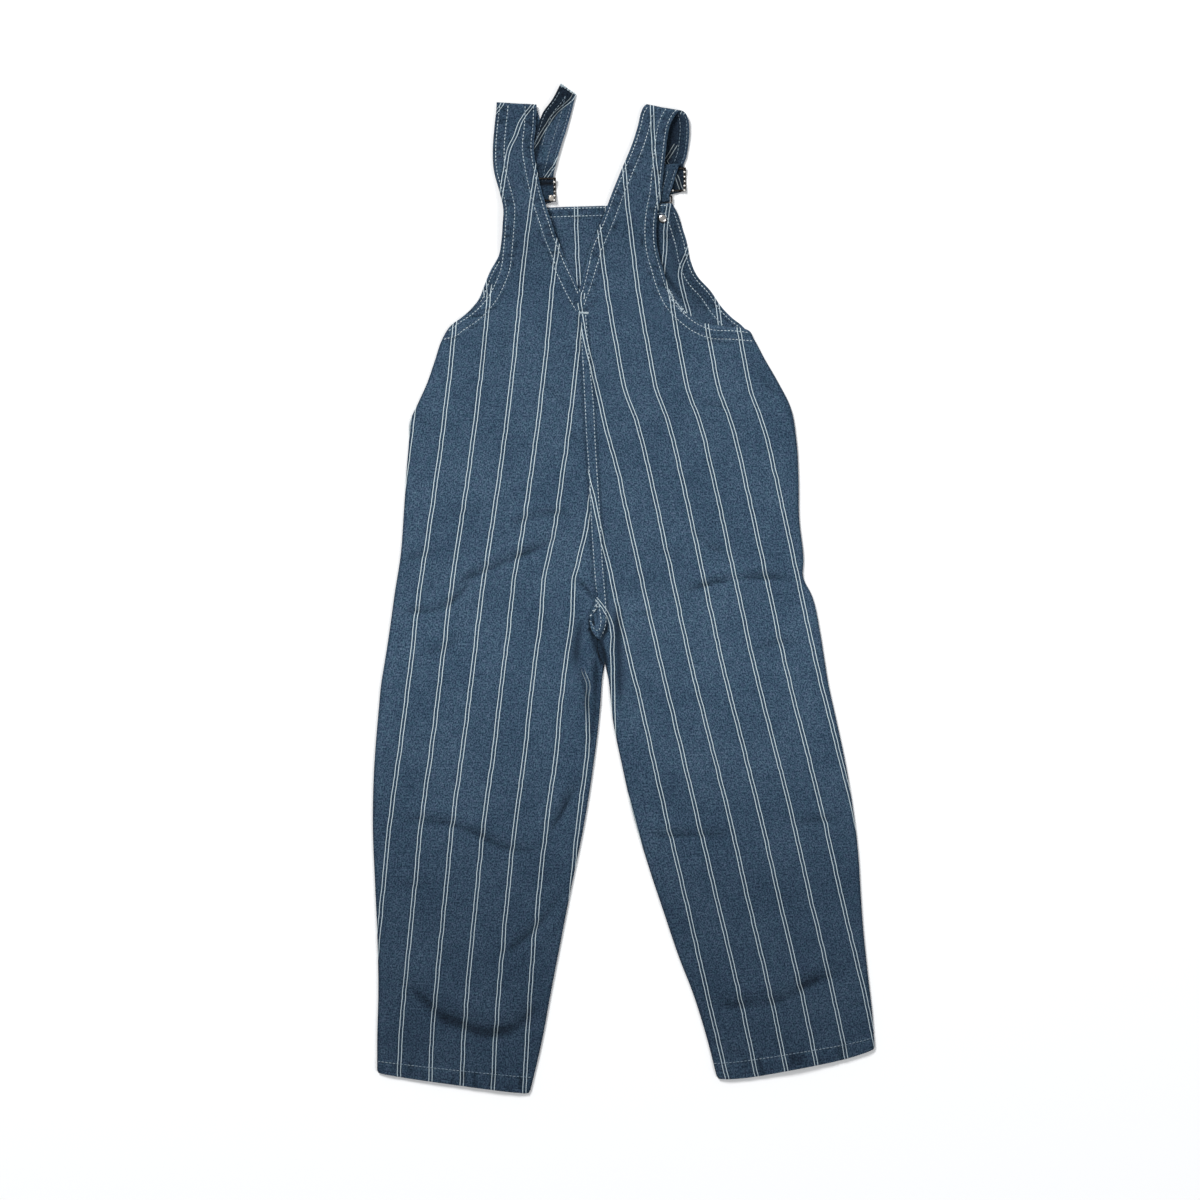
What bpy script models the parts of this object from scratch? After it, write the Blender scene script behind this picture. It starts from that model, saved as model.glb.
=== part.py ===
"""Striped denim dungarees for a child, laid flat on their front with the back panels up.

Frame: +X to the right across the garment, +Y from the hems to the straps, +Z up from the
surface that the garment lies on (z = 0).  The origin is under the middle of the garment.
Sizes below are millimetres, and MM turns them into Blender's metres.

Every cut and sewn piece is a solid of its own.  A cloth piece is a sheet between two edges,
described by sections from its lower to its upper end, that a Solidify modifier turns into a
wall.  The fronts and the bib lie on the surface, the backs lie on them, and each back runs
on into its shoulder strap, which folds at the shoulder, goes down through its slide, turns
round the bar of its hook and comes back as the loose end.
"""

import math
from dataclasses import dataclass

import bmesh
import bpy
import numpy as np

MM = 0.001

# Cloth walls
WALL = 1.0                # thickness of the denim walls
GAP = 0.3                 # clearance between pieces that lie on each other or meet at a seam
FRONT_Z = WALL / 2        # middle of a wall that lies on the surface
BACK_Z = FRONT_Z + WALL + GAP  # middle of a wall that lies on another
SEAM_Z = 2.6              # middle of the back walls where the centre back seam joins them
MAX_FOLD = 2.1            # the most that folds raise a back above its own crown
EDGE_EASE = 14.0          # distance from an edge over which the folds rise
LEG_SPACING = 15.0        # length of a wall's facets along the legs
PANEL_COLUMNS = 10        # facets across a back panel

# Adjusting slides: a bent ladder with two outer bars and a lower middle bar
SLIDE_WIDTH = 28.0
SLIDE_HEIGHT = 21.6
SLIDE_BAR = 1.7           # width of the bars and rails
SLIDE_PLATE = 1.2         # thickness of the metal
SLIDE_BAR_Z = 0.7         # height of the lower, middle bar's middle
LEFT_SLIDE = (-75.2, 359.1)
RIGHT_SLIDE = (41.8, 368.3)
STRAP_THROUGH = 23.4      # width of the strap inside a slide
OVER_BAR_Z = SLIDE_BAR_Z + SLIDE_PLATE / 2 + GAP + WALL / 2  # strap over the middle bar
LAYER = WALL + GAP        # how much higher a second layer of strap lies

# Wire hooks
WIRE_R = 0.7
HOOK_BAR = 22.0           # outer width of the hook at its bar
HOOK_LOOP_R = 3.3         # radius of the small loop that grips the button's neck
HOOK_DROP = 19.75         # from the bar to the middle of the small loop
STRAP_ON_BAR = 16.5       # width of the strap where it is gathered on the hook's bar
WRAP_R = 1.8              # from the middle of the bar to the middle of the strap round it
LEFT_HOOK = (-81.5, 339.5)
LEFT_HOOK_Z = 4.3
LEFT_HOOK_TURN = math.radians(12)

# The shoulder fold of the left strap
FOLD_LEFT = (-114.6, 434.6)
FOLD_RIGHT = (-78.6, 433.4)
FOLD_REACH = 1.3
STRAP_BACK_Z = 3.1        # middle of a strap's back half at the shoulder

# Buttons and their tacks
CAP_R = 7.0
CAP_HEIGHT = 1.6
NECK_R = 2.2
NECK_TOP = 3.3
TACK_R = 3.2
TACK_HEIGHT = 0.8
LEFT_BUTTON = (-96.0, 326.5)
RIGHT_BUTTON = (34.7, 333.0)
RIGHT_HOOK_TURN = math.radians(6.5)
RIGHT_HOOK_Z = CAP_HEIGHT + GAP + WIRE_R
RIGHT_HOOK = (
    RIGHT_BUTTON[0] - HOOK_DROP * math.sin(RIGHT_HOOK_TURN),
    RIGHT_BUTTON[1] + HOOK_DROP * math.cos(RIGHT_HOOK_TURN),
)
BIB_LIFT = NECK_TOP + GAP  # how far a button's neck holds the bib off the surface
LEFT_BIB_SLOPE = 11.5     # length of the bib's slope round the left button's neck
RIGHT_BIB_SLOPE = 16.0    # and round the right hook

DENIM = (0.055, 0.095, 0.148)
DENIM_INSIDE = (0.052, 0.088, 0.135)
GUNMETAL = (0.10, 0.095, 0.09)
STEEL = (0.55, 0.54, 0.52)


@dataclass
class Section:
    """One line across a sheet.

    left and right are its ends as (x, y) or (x, y, z); rest is the z of an end with none.
    crown is how far the sheet rises between them, and bow how far its middle runs
    towards -Y, as a curved hem does.
    """

    left: tuple
    right: tuple
    crown: float = 0.0
    bow: float = 0.0

    def row(self, rest):
        """Return the section as one list of eight numbers."""
        ends = []
        for end in (self.left, self.right):
            ends += list(end) if len(end) == 3 else [end[0], end[1], rest]
        return ends + [self.crown, self.bow]


@dataclass
class Fold:
    """A soft ridge along a line through the points of path."""

    path: tuple
    width: float
    height: float

    def rise(self, x, y):
        """Return the ridge's height at a point."""
        nearest = min(
            distance_to_line(x, y, start, end) for start, end in zip(self.path, self.path[1:])
        )
        return self.height * math.exp(-((nearest / self.width) ** 2))


def distance_to_line(x, y, start, end):
    """Return how far a point is from the straight line between start and end."""
    along = (end[0] - start[0], end[1] - start[1])
    share = ((x - start[0]) * along[0] + (y - start[1]) * along[1]) / (along[0] ** 2 + along[1] ** 2)
    share = min(1.0, max(0.0, share))
    return math.hypot(x - start[0] - share * along[0], y - start[1] - share * along[1])


def smooth_step(value):
    """Return a smooth 0 to 1 for a value that runs from 0 to 1."""
    value = min(1.0, max(0.0, value))
    return value * value * (3 - 2 * value)


# The legs and the seat, a row for each section from the hem up.

BACK_LEFT_LEG = [
    Section((-222, -434), (-85, -454), crown=0.8, bow=3.2),
    Section((-222, -404), (-75, -412), crown=1.3),
    Section((-221, -360), (-66, -364), crown=1.6),
    Section((-222, -310), (-56, -312), crown=1.6),
    Section((-224, -265), (-47, -266), crown=1.6),
    Section((-226, -212), (-36, -212), crown=1.6),
    Section((-225, -165), (-28.5, -165), crown=1.6),
    Section((-221, -112), (-22, -112), crown=1.6),
    Section((-218, -82), (-19.8, -82), crown=1.5),
    Section((-215, -62), (-20.6, -62), crown=1.4),
]
BACK_LEFT_SEAT = [
    Section((-211, -38), (-21.8, -46, SEAM_Z), crown=1.2),
    Section((-206, -2), (-22.4, -9, SEAM_Z), crown=1.2),
    Section((-201, 30), (-24.4, 26, SEAM_Z), crown=1.2),
    Section((-198, 70), (-27.4, 64, SEAM_Z), crown=1.2),
    Section((-197, 105), (-29.5, 100, SEAM_Z), crown=1.2),
    Section((-194, 136), (-31.3, 135, SEAM_Z), crown=1.2),
    Section((-188, 167), (-33.0, 168, SEAM_Z), crown=1.2),
    Section((-178, 185), (-34.3, 188, SEAM_Z), crown=1.2),
    Section((-171.5, 205), (-35.6, 210, SEAM_Z), crown=1.1),
    Section((-164.5, 224), (-37.2, 232, SEAM_Z), crown=1.0),
    Section((-153, 237), (-38.3, 247, SEAM_Z), crown=0.9),
    Section((-136, 251), (-39.6, 259, SEAM_Z), crown=0.7),
    Section((-125, 263), (-40.5, 268, SEAM_Z), crown=0.6),
    Section((-118, 276), (-44.8, 280, 2.2), crown=0.8),
]
BACK_RIGHT_LEG = [
    Section((84, -441), (225.5, -414), crown=0.8, bow=4.6),
    Section((74, -402), (223.5, -384), crown=1.3),
    Section((62.5, -365), (219.5, -348), crown=1.6),
    Section((49, -330), (215.5, -310), crown=1.6),
    Section((35.5, -290), (213, -276), crown=1.6),
    Section((23.5, -254), (211, -242), crown=1.6),
    Section((8.5, -204), (206, -198), crown=1.6),
    Section((-1.5, -160), (199, -156), crown=1.6),
    Section((-10, -118), (190.5, -116), crown=1.6),
    Section((-13.6, -84), (183.5, -84), crown=1.5),
    Section((-16.5, -62), (180, -62), crown=1.4),
]
BACK_RIGHT_SEAT = [
    Section((-21.5, -46, SEAM_Z), (176.5, -40), crown=1.2),
    Section((-22.1, -9, SEAM_Z), (169, -5), crown=1.2),
    Section((-24.1, 26, SEAM_Z), (160, 26), crown=1.2),
    Section((-27.1, 64, SEAM_Z), (157.5, 64), crown=1.2),
    Section((-29.2, 100, SEAM_Z), (157, 100), crown=1.2),
    Section((-31.0, 135, SEAM_Z), (155, 134), crown=1.2),
    Section((-32.7, 168, SEAM_Z), (146, 165), crown=1.2),
    Section((-34.0, 188, SEAM_Z), (136, 186), crown=1.2),
    Section((-35.3, 210, SEAM_Z), (126.5, 207), crown=1.1),
    Section((-36.9, 232, SEAM_Z), (117, 225), crown=1.0),
    Section((-38.0, 247, SEAM_Z), (108, 233.5), crown=0.9),
    Section((-38.9, 256, SEAM_Z), (93, 235), crown=0.8),
    Section((-39.7, 263, SEAM_Z), (80, 235.5), crown=0.7),
    Section((-40.2, 268, SEAM_Z), (69.3, 239.5), crown=0.6),
    Section((-37.5, 279, 2.2), (57, 248.2), crown=0.8),
    Section((-34.3, 291, 1.8), (47, 258.8), crown=1.1),
]

# The upper backs, which cross the hooks, the slides and the loose strap ends, up to the fold.

LEFT_STRAP_BACK = [
    Section((-113, 289, 2.0), (-51, 293, 1.8), crown=1.4),
    Section((-111, 304, 3.9), (-56.7, 307, 3.2), crown=1.8),
    Section((-109.8, 316, 5.8), (-61.2, 317.5, 4.9), crown=1.5),
    Section((-109, 328, 7.0), (-65, 329, 6.8), crown=0.9),
    Section((-108.5, 342, 7.4), (-70, 344, 7.4), crown=0.6),
    Section((-112, 357, 5.4), (-74, 358, 5.9), crown=0.4),
    Section((-117, 376, 3.6), (-78, 376, 4.3), crown=0.2),
    Section((-118, 396, 3.1), (-81, 397, 3.3)),
    Section((-116.5, 416, 3.1), (-79.3, 415, 3.1)),
]
RIGHT_STRAP_BACK = [
    Section((-31, 306, 1.8), (40, 272.5), crown=1.3),
    Section((-25, 320, 1.9), (34.5, 290.5, 2.0), crown=1.4),
    Section((-19, 334, 2.4), (30.3, 306, 3.5), crown=1.4),
    Section((-14.5, 346, 3.0), (29, 321, 5.1), crown=1.2),
    Section((-10, 358, 3.3), (30.3, 338, 6.0), crown=1.0),
    Section((-5.5, 369, 3.7), (33.6, 355, 6.2), crown=0.8),
    Section((-1, 380, 3.5), (35.2, 372, 6.0), crown=0.6),
    Section((4.2, 392, 3.2), (37.4, 391, 5.8), crown=0.4),
    Section((9, 405, 3.1), (39.2, 406, 5.8), crown=0.2),
    Section((12.6, 417, 3.1), (41.6, 417, 6.1)),
]

# The round shoulder turn of the right strap stands open at its armhole edge, and its front
# half shows inside it.

RIGHT_STRAP_TURN = [
    Section((15.2, 428, 3.1), (46.3, 425.5, 6.2)),
    Section((17.6, 433.4, 2.9), (50.3, 429.5, 5.6)),
    Section((20.4, 435.6, 1.9), (54.6, 428.2, 4.4)),
    Section((22.6, 434.2, 0.9), (57.4, 423.6, 3.1)),
    Section((25, 428, 0.5), (58.7, 415, 2.0)),
    Section((28.2, 414, 0.5), (58.1, 401, 1.1)),
    Section((30, 399, 0.5), (56.3, 389, 0.6)),
]
LEFT_STRAP_FRONT = [
    Section((-112.5, 428, 0.5), (-77, 427, 0.5)),
    Section((-102.5, 406, 0.5), (-71.5, 406, 0.5)),
    Section((-91.5, 386, 0.5), (-65.3, 386, 0.5)),
]

# The straps between their slides and their hooks, on the way down and on the way back.

LEFT_TO_HOOK = [Section((-88.0, 345.4, 1.1), (-67.0, 346.0, 1.1))]
LEFT_FROM_HOOK = [Section((-88.0, 346.4, 2.2), (-67.0, 347.0, 2.2))]
RIGHT_TO_HOOK = [Section((27.0, 355.8, 0.6), (49.0, 356.6, 0.6))]

# The loose ends, from the slide or the hook to the cut end.

LEFT_STRAP_END = [
    Section((-86.6, 384, 1.8), (-60.7, 384, 1.8)),
    Section((-82.2, 401, 1.8), (-56.2, 400, 1.6)),
    Section((-77.6, 416, 1.8), (-51.6, 414, 1.2)),
    Section((-72.6, 429, 2.6), (-48.0, 426.5, 0.9)),
    Section((-64.5, 440, 3.6), (-45.6, 436, 0.8)),
    Section((-57, 454, 4.2), (-43.3, 445.2, 0.9)),
]
RIGHT_STRAP_END = [
    Section((22.4, 357, 4.0), (43.2, 360.4, 4.0)),
    Section((24.3, 367, 3.3), (46.2, 370.5, 3.3)),
    Section((28, 381, 3.3), (50, 382.6, 3.3)),
]

# The fronts, from the hem up to the waist seam, and the bib with its sides from there up.

WAIST_Y = 170.0
FRONT_LEFT = [
    Section((-221.3, -433), (-86, -452.6), bow=3.0),
    Section((-221.3, -404), (-76, -412)),
    Section((-220.4, -360), (-67, -364)),
    Section((-221.4, -310), (-57, -312)),
    Section((-223.4, -265), (-48, -266)),
    Section((-225.3, -212), (-37, -212)),
    Section((-224.3, -165), (-29.5, -165)),
    Section((-220.3, -112), (-22.6, -112)),
    Section((-217.3, -82), (-19.6, -80)),
    Section((-214.8, -62), (-17.3, -67)),
    Section((-210.3, -38), (-18.6, -46)),
    Section((-205.4, -2), (-21, -5)),
    Section((-200.4, 30), (-23, 28)),
    Section((-197.4, 70), (-26, 70)),
    Section((-196.4, 105), (-28, 105)),
    Section((-193.4, 136), (-30.5, 136)),
    Section((-186.5, WAIST_Y), (-32.6, WAIST_Y)),
]
FRONT_RIGHT = [
    Section((85, -439.6), (224.8, -413), bow=4.4),
    Section((75, -402), (222.8, -384)),
    Section((63.5, -365), (218.8, -348)),
    Section((50, -330), (214.8, -310)),
    Section((36.5, -290), (212.3, -276)),
    Section((24.5, -254), (210.3, -242)),
    Section((9.5, -204), (205.3, -198)),
    Section((-0.7, -160), (198.3, -156)),
    Section((-9.4, -118), (189.8, -116)),
    Section((-13.4, -84), (182.8, -84)),
    Section((-17.0, -67), (180.3, -67)),
    Section((-18.3, -46), (176, -40)),
    Section((-20.7, -5), (168.3, -5)),
    Section((-22.7, 28), (159.3, 28)),
    Section((-25.7, 70), (156.8, 70)),
    Section((-27.7, 105), (156, 105)),
    Section((-30.2, 136), (153.8, 136)),
    Section((-32.3, WAIST_Y), (143.6, WAIST_Y)),
]
BIB = [
    Section((-186.2, WAIST_Y + GAP), (143.4, WAIST_Y + GAP)),
    Section((-177.4, 185), (135.5, 186)),
    Section((-171, 205), (126, 206)),
    Section((-164, 223.5), (116.8, 224)),
    Section((-152.6, 237), (107, 236)),
    Section((-139, 250.5), (96, 245)),
    Section((-131, 260), (87.5, 254)),
    Section((-126, 272), (78, 268)),
    Section((-120.5, 285.5), (66, 281.5)),
    Section((-112.5, 300.5), (59.6, 296)),
    Section((-110.5, 312), (57, 309.5)),
    Section((-109.8, 318.5), (54.9, 317.5)),
    Section((-109.4, 323), (53.2, 322.5)),
    Section((-109.1, 327), (51.7, 327.5)),
    Section((-108.8, 331), (50.0, 332.5)),
    Section((-108.5, 336), (48.0, 338)),
    Section((-108.2, 342), (43.4, 346.5)),
]
BIB_SPACING = 14.0
BIB_COLUMN_STEPS = [(8, 2.6), (24, 5.0), (1000, 14.0)]  # within this of a button, this step

# The centre seams, from the crotch up: the middle of the seam as (y, x).

BACK_SEAM = [(-46, -21.6), (-9, -22.2), (26, -24.2), (64, -27.2), (100, -29.3), (135, -31.2)]
BACK_SEAM += [(168, -32.9), (188, -34.2), (210, -35.4), (232, -37.0), (247, -38.2), (268, -40.3)]
FRONT_SEAM = [(-67, -17.1), (-46, -18.4), (-5, -20.8), (28, -22.8), (70, -25.8), (105, -27.8)]
FRONT_SEAM += [(136, -30.3), (WAIST_Y, -32.4)]

# The largest folds, as ridges on the backs.

LEFT_FOLDS = [
    Fold(((-142, 6), (-123, 13), (-101, 22), (-66, 37)), width=10, height=2.0),
    Fold(((-96, 53), (-74, 59), (-44, 57)), width=9, height=1.5),
    Fold(((-196, -29), (-167, -26), (-140, -6)), width=10, height=1.5),
    Fold(((-201, -199), (-156, -203), (-133, -213), (-104, -225), (-72, -220)), width=10, height=1.9),
    Fold(((-66, -212), (-52, -190), (-36, -172)), width=9, height=1.5),
    Fold(((-50, -280), (-74, -308), (-108, -336)), width=10, height=1.6),
    Fold(((-214, -330), (-186, -356), (-168, -370), (-128, -387), (-100, -390)), width=9, height=1.9),
    Fold(((-106, -373), (-82, -351), (-70, -344)), width=8, height=1.4),
    Fold(((-72, 174), (-56, 159), (-48, 146)), width=9, height=1.2),
]
RIGHT_FOLDS = [
    Fold(((50, -10), (78, -3), (126, 2), (152, -3)), width=10, height=1.9),
    Fold(((60, 43), (74, 32), (96, 22)), width=9, height=1.4),
    Fold(((20, -211), (47, -212), (95, -211)), width=10, height=1.8),
    Fold(((150, -202), (178, -198), (200, -199)), width=9, height=1.5),
    Fold(((74, -360), (107, -364), (145, -356), (170, -338), (210, -320)), width=9, height=1.9),
    Fold(((-8, -20), (2, -60), (4, -100)), width=10, height=1.4),
    Fold(((112, 192), (130, 168), (142, 150)), width=10, height=1.4),
    Fold(((62, 228), (84, 222), (104, 222)), width=8, height=1.2),
]


def resample(sections, spacing, rest):
    """Return rows of eight numbers on a smooth line through the sections."""
    knots = np.array([section.row(rest) for section in sections], dtype=float)
    steps = np.diff(knots, axis=0)
    lengths = (np.linalg.norm(steps[:, 0:3], axis=1) + np.linalg.norm(steps[:, 3:6], axis=1)) / 2
    slopes = steps / lengths[:, None]
    tangents = np.empty_like(knots)
    tangents[0], tangents[-1] = slopes[0], slopes[-1]
    before, after = lengths[:-1, None], lengths[1:, None]
    tangents[1:-1] = (slopes[:-1] * after + slopes[1:] * before) / (before + after)
    rows = [knots[0]]
    for index, length in enumerate(lengths):
        count = max(1, round(length / spacing))
        for step in range(1, count + 1):
            u = step / count
            rows.append(
                (2 * u**3 - 3 * u**2 + 1) * knots[index]
                + (u**3 - 2 * u**2 + u) * length * tangents[index]
                + (3 * u**2 - 2 * u**3) * knots[index + 1]
                + (u**3 - u**2) * length * tangents[index + 1]
            )
    return rows


def keep_to_seam(rows, seam, side):
    """Stop a sheet's left or right edge half a gap short of a centre seam."""
    heights = [y for y, x in seam]
    places = [x for y, x in seam]
    column, sign = (0, 1) if side == "left" else (3, -1)
    for row in rows:
        if heights[0] - 1 <= row[column + 1] <= heights[-1] + 1:
            limit = np.interp(row[column + 1], heights, places) + sign * GAP / 2
            row[column] = sign * max(sign * row[column], sign * limit)


def half_turn(left, right, direction, reach, z_from, z_to, steps=5):
    """Return the sections of a strap that turns over, out to reach in a direction."""
    sections = []
    for step in range(steps + 1):
        angle = math.pi * step / steps
        out = reach * math.sin(angle)
        z = (z_from + z_to) / 2 + (z_from - z_to) / 2 * math.cos(angle)
        moved = [(x + out * direction[0], y + out * direction[1], z) for x, y in (left, right)]
        sections.append(Section(*moved))
    return sections


def through_slide(middle, z_under, z_over, upwards):
    """Return the sections of a strap under a slide's outer bars and over its middle bar."""
    left, right = middle[0] - STRAP_THROUGH / 2, middle[0] + STRAP_THROUGH / 2
    outer = SLIDE_HEIGHT / 2
    heights = [
        (outer + 0.3, z_under),
        (outer - SLIDE_BAR - 0.3, z_under),
        (SLIDE_BAR / 2 + 0.3, z_over),
        (-SLIDE_BAR / 2 - 0.3, z_over),
        (-outer + SLIDE_BAR + 0.3, z_under),
        (-outer + SLIDE_BAR / 2, z_under),
    ]
    if upwards:
        heights.reverse()
    return [Section((left, middle[1] + y, z), (right, middle[1] + y, z)) for y, z in heights]


def bar_ends(middle, turn, width):
    """Return the two ends of a width on a hook's bar and the hook's direction."""
    across = (math.cos(turn) * width / 2, math.sin(turn) * width / 2)
    direction = (math.sin(turn), -math.cos(turn))
    left = (middle[0] - across[0], middle[1] - across[1])
    right = (middle[0] + across[0], middle[1] + across[1])
    return left, right, direction


def round_hook(middle, turn, z):
    """Return the sections of a strap that goes under a hook's bar and back over it."""
    left, right, direction = bar_ends(middle, turn, STRAP_ON_BAR)
    return half_turn(left, right, direction, WRAP_R, z - WRAP_R, z + WRAP_R)


def bib_rise(x, y, edge_distance):
    """Return how far the buttons and the fastened hook hold the bib off the surface.

    It comes down to the surface round both, over the left button's cap and past the right
    hook, which is wider at its bar than at its button.
    """
    past_neck = math.hypot(x - LEFT_BUTTON[0], y - LEFT_BUTTON[1]) - NECK_R - GAP - WALL
    left = 1 - smooth_step(past_neck / LEFT_BIB_SLOPE)
    top = (RIGHT_HOOK[0], RIGHT_HOOK[1] - WRAP_R)
    share = (y - RIGHT_BUTTON[1]) / (top[1] - RIGHT_BUTTON[1])
    share = min(1.0, max(0.0, share))
    half_width = CAP_R + 1.5 + (HOOK_BAR / 2 - CAP_R) * share
    past_hook = distance_to_line(x, y, top, RIGHT_BUTTON) - half_width
    right = 1 - smooth_step(past_hook / RIGHT_BIB_SLOPE)
    return BIB_LIFT * max(left, right)


def bib_columns():
    """Return the places of the bib's columns, 0 to 1, closer together over the buttons."""
    top = BIB[-3]
    left, width = top.left[0], top.right[0] - top.left[0]
    places, x = [], left
    while x < left + width:
        places.append((x - left) / width)
        nearest = min(abs(x - LEFT_BUTTON[0]), abs(x - RIGHT_BUTTON[0]))
        x += next(step for reach, step in BIB_COLUMN_STEPS if nearest < reach)
    places[-1] = (places[-2] + 1) / 2
    return places + [1.0]


def fold_rise(folds):
    """Return a function that adds up folds and fades them out towards a sheet's edges."""

    def rise(x, y, edge_distance):
        total = min(MAX_FOLD, sum(fold.rise(x, y) for fold in folds))
        return total * smooth_step(edge_distance / EDGE_EASE)

    return rise


def make_material(name, colour, roughness, metallic=0.0):
    """Return a Principled material."""
    material = bpy.data.materials.new(name)
    material.use_nodes = True
    shader = material.node_tree.nodes["Principled BSDF"]
    shader.inputs["Base Color"].default_value = (*colour, 1.0)
    shader.inputs["Roughness"].default_value = roughness
    shader.inputs["Metallic"].default_value = metallic
    return material


def add_object(name, mesh, material):
    """Add a mesh to the scene as a named object with its material."""
    mesh.materials.append(material)
    built = bpy.data.objects.new(name, mesh)
    bpy.context.scene.collection.objects.link(built)
    return built


def add_sheet(name, sections, columns, spacing, material, rest, rise=None, seam=None):
    """Add a cloth piece: a grid drawn between the sections' ends, with a wall's thickness."""
    rows = resample(sections, spacing, rest)
    if seam:
        keep_to_seam(rows, *seam)
    if isinstance(columns, int):
        columns = [index / columns for index in range(columns + 1)]
    grid = bmesh.new()
    bmesh.ops.create_grid(grid, x_segments=len(columns) - 1, y_segments=len(rows) - 1, size=0.5)
    for vertex in grid.verts:
        share = columns[round((vertex.co.x + 0.5) * (len(columns) - 1))]
        row = rows[round((vertex.co.y + 0.5) * (len(rows) - 1))]
        left, right, crown, bow = row[0:3], row[3:6], row[6], row[7]
        x, y, z = left + (right - left) * share
        y -= bow * (1 - (2 * share - 1) ** 4)
        lift = crown * 4 * share * (1 - share)
        if rise:
            edge_distance = min(share, 1 - share) * math.dist(left, right)
            lift += rise(x, y, edge_distance)
        vertex.co = (x * MM, y * MM, (z + lift) * MM)
    mesh = bpy.data.meshes.new(name)
    grid.to_mesh(mesh)
    grid.free()
    sheet = add_object(name, mesh, material)
    wall = sheet.modifiers.new("Wall", "SOLIDIFY")
    wall.thickness = WALL * MM
    wall.offset = 0.0
    return sheet


def add_slide(name, middle, outer_z, material):
    """Add an adjusting slide: a ladder of one bent plate, its middle bar lower than the rest."""
    half_width, half_height = SLIDE_WIDTH / 2, SLIDE_HEIGHT / 2
    xs = [-half_width, -half_width + SLIDE_BAR, half_width - SLIDE_BAR, half_width]
    lower = [-half_height, -half_height + SLIDE_BAR, -half_height / 2, -SLIDE_BAR / 2]
    ys = lower + [-y for y in reversed(lower)]
    grid = bmesh.new()
    bmesh.ops.create_grid(grid, x_segments=len(xs) - 1, y_segments=len(ys) - 1, size=0.5)
    for vertex in grid.verts:
        x = xs[round((vertex.co.x + 0.5) * (len(xs) - 1))]
        y = ys[round((vertex.co.y + 0.5) * (len(ys) - 1))]
        height = smooth_step((abs(y) - SLIDE_BAR / 2) / (half_height - 1.5 * SLIDE_BAR))
        z = SLIDE_BAR_Z + (outer_z - SLIDE_BAR_Z) * height
        vertex.co = ((middle[0] + x) * MM, (middle[1] + y) * MM, z * MM)
    windows = []
    for face in grid.faces:
        centre = face.calc_center_median() / MM
        inside = abs(centre.x - middle[0]) < half_width - SLIDE_BAR
        rise = abs(centre.y - middle[1])
        if inside and SLIDE_BAR / 2 < rise < half_height - SLIDE_BAR:
            windows.append(face)
    bmesh.ops.delete(grid, geom=windows, context="FACES")
    mesh = bpy.data.meshes.new(name)
    grid.to_mesh(mesh)
    grid.free()
    slide = add_object(name, mesh, material)
    plate = slide.modifiers.new("Plate", "SOLIDIFY")
    plate.thickness = SLIDE_PLATE * MM
    plate.offset = 0.0
    edge = slide.modifiers.new("Edge", "BEVEL")
    edge.width = 0.25 * MM
    edge.segments = 1
    return slide


def hook_outline():
    """Return the wire's middle line, from the bar down the right side to the small loop."""
    half = HOOK_BAR / 2 - WIRE_R
    corner = [(half - 1.6, 0), (half - 0.4, -0.5), (half, -1.8)]
    right_side = corner + [(half - 0.4, -5), (7.6, -10), (5.0, -14)]
    loop = []
    for step in range(7):
        angle = math.radians(20) - math.radians(220) * step / 6
        loop.append((HOOK_LOOP_R * math.cos(angle), -HOOK_DROP + HOOK_LOOP_R * math.sin(angle)))
    left_side = [(-x, y) for x, y in reversed(right_side)]
    return right_side + loop + left_side + [(-3, 0), (3, 0)]


def add_hook(name, middle, turn, z, material):
    """Add a wire hook: a closed wire with a wide bar for the strap and a small loop below."""
    curve = bpy.data.curves.new(name, "CURVE")
    curve.dimensions = "3D"
    curve.bevel_depth = WIRE_R * MM
    curve.bevel_resolution = 2
    outline = hook_outline()
    wire = curve.splines.new("POLY")
    wire.points.add(len(outline) - 1)
    wire.use_cyclic_u = True
    cos, sin = math.cos(turn), math.sin(turn)
    for point, (x, y) in zip(wire.points, outline):
        place = (middle[0] + x * cos - y * sin, middle[1] + x * sin + y * cos, z)
        point.co = (place[0] * MM, place[1] * MM, place[2] * MM, 1.0)
    curve.materials.append(material)
    hook = bpy.data.objects.new(name, curve)
    bpy.context.scene.collection.objects.link(hook)
    return hook


def add_turned(name, profile, place, material, steps=20):
    """Add a round piece: a profile of (radius, z), from the axis out and back, spun about it."""
    turned = bmesh.new()
    points = [turned.verts.new((radius * MM, 0, z * MM)) for radius, z in profile]
    edges = [turned.edges.new(pair) for pair in zip(points, points[1:])]
    bmesh.ops.spin(
        turned,
        geom=points + edges,
        cent=(0, 0, 0),
        axis=(0, 0, 1),
        angle=2 * math.pi,
        steps=steps,
        use_merge=True,
    )
    bmesh.ops.remove_doubles(turned, verts=turned.verts, dist=0.01 * MM)
    bmesh.ops.recalc_face_normals(turned, faces=turned.faces)
    mesh = bpy.data.meshes.new(name)
    turned.to_mesh(mesh)
    turned.free()
    mesh.shade_smooth()
    mesh.set_sharp_from_angle(angle=math.radians(40))
    built = add_object(name, mesh, material)
    built.location = (place[0] * MM, place[1] * MM, 0)
    return built


def add_button(side, place, material):
    """Add a button that lies cap down under the bib, and the tack that holds it from inside."""
    cap = [(0, 0), (CAP_R - 0.5, 0), (CAP_R, 0.5)]
    cap += [(CAP_R, CAP_HEIGHT - 0.4), (CAP_R - 0.4, CAP_HEIGHT)]
    neck = [(NECK_R, CAP_HEIGHT), (NECK_R, NECK_TOP), (0, NECK_TOP)]
    add_turned(f"button_{side}", cap + neck, place, material)
    low = BIB_LIFT + WALL + GAP
    top = low + TACK_HEIGHT
    dome = [(0, low), (TACK_R, low), (TACK_R, low + 0.4), (TACK_R - 0.9, top), (0, top)]
    add_turned(f"tack_{side}", dome, place, material, steps=16)


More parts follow.
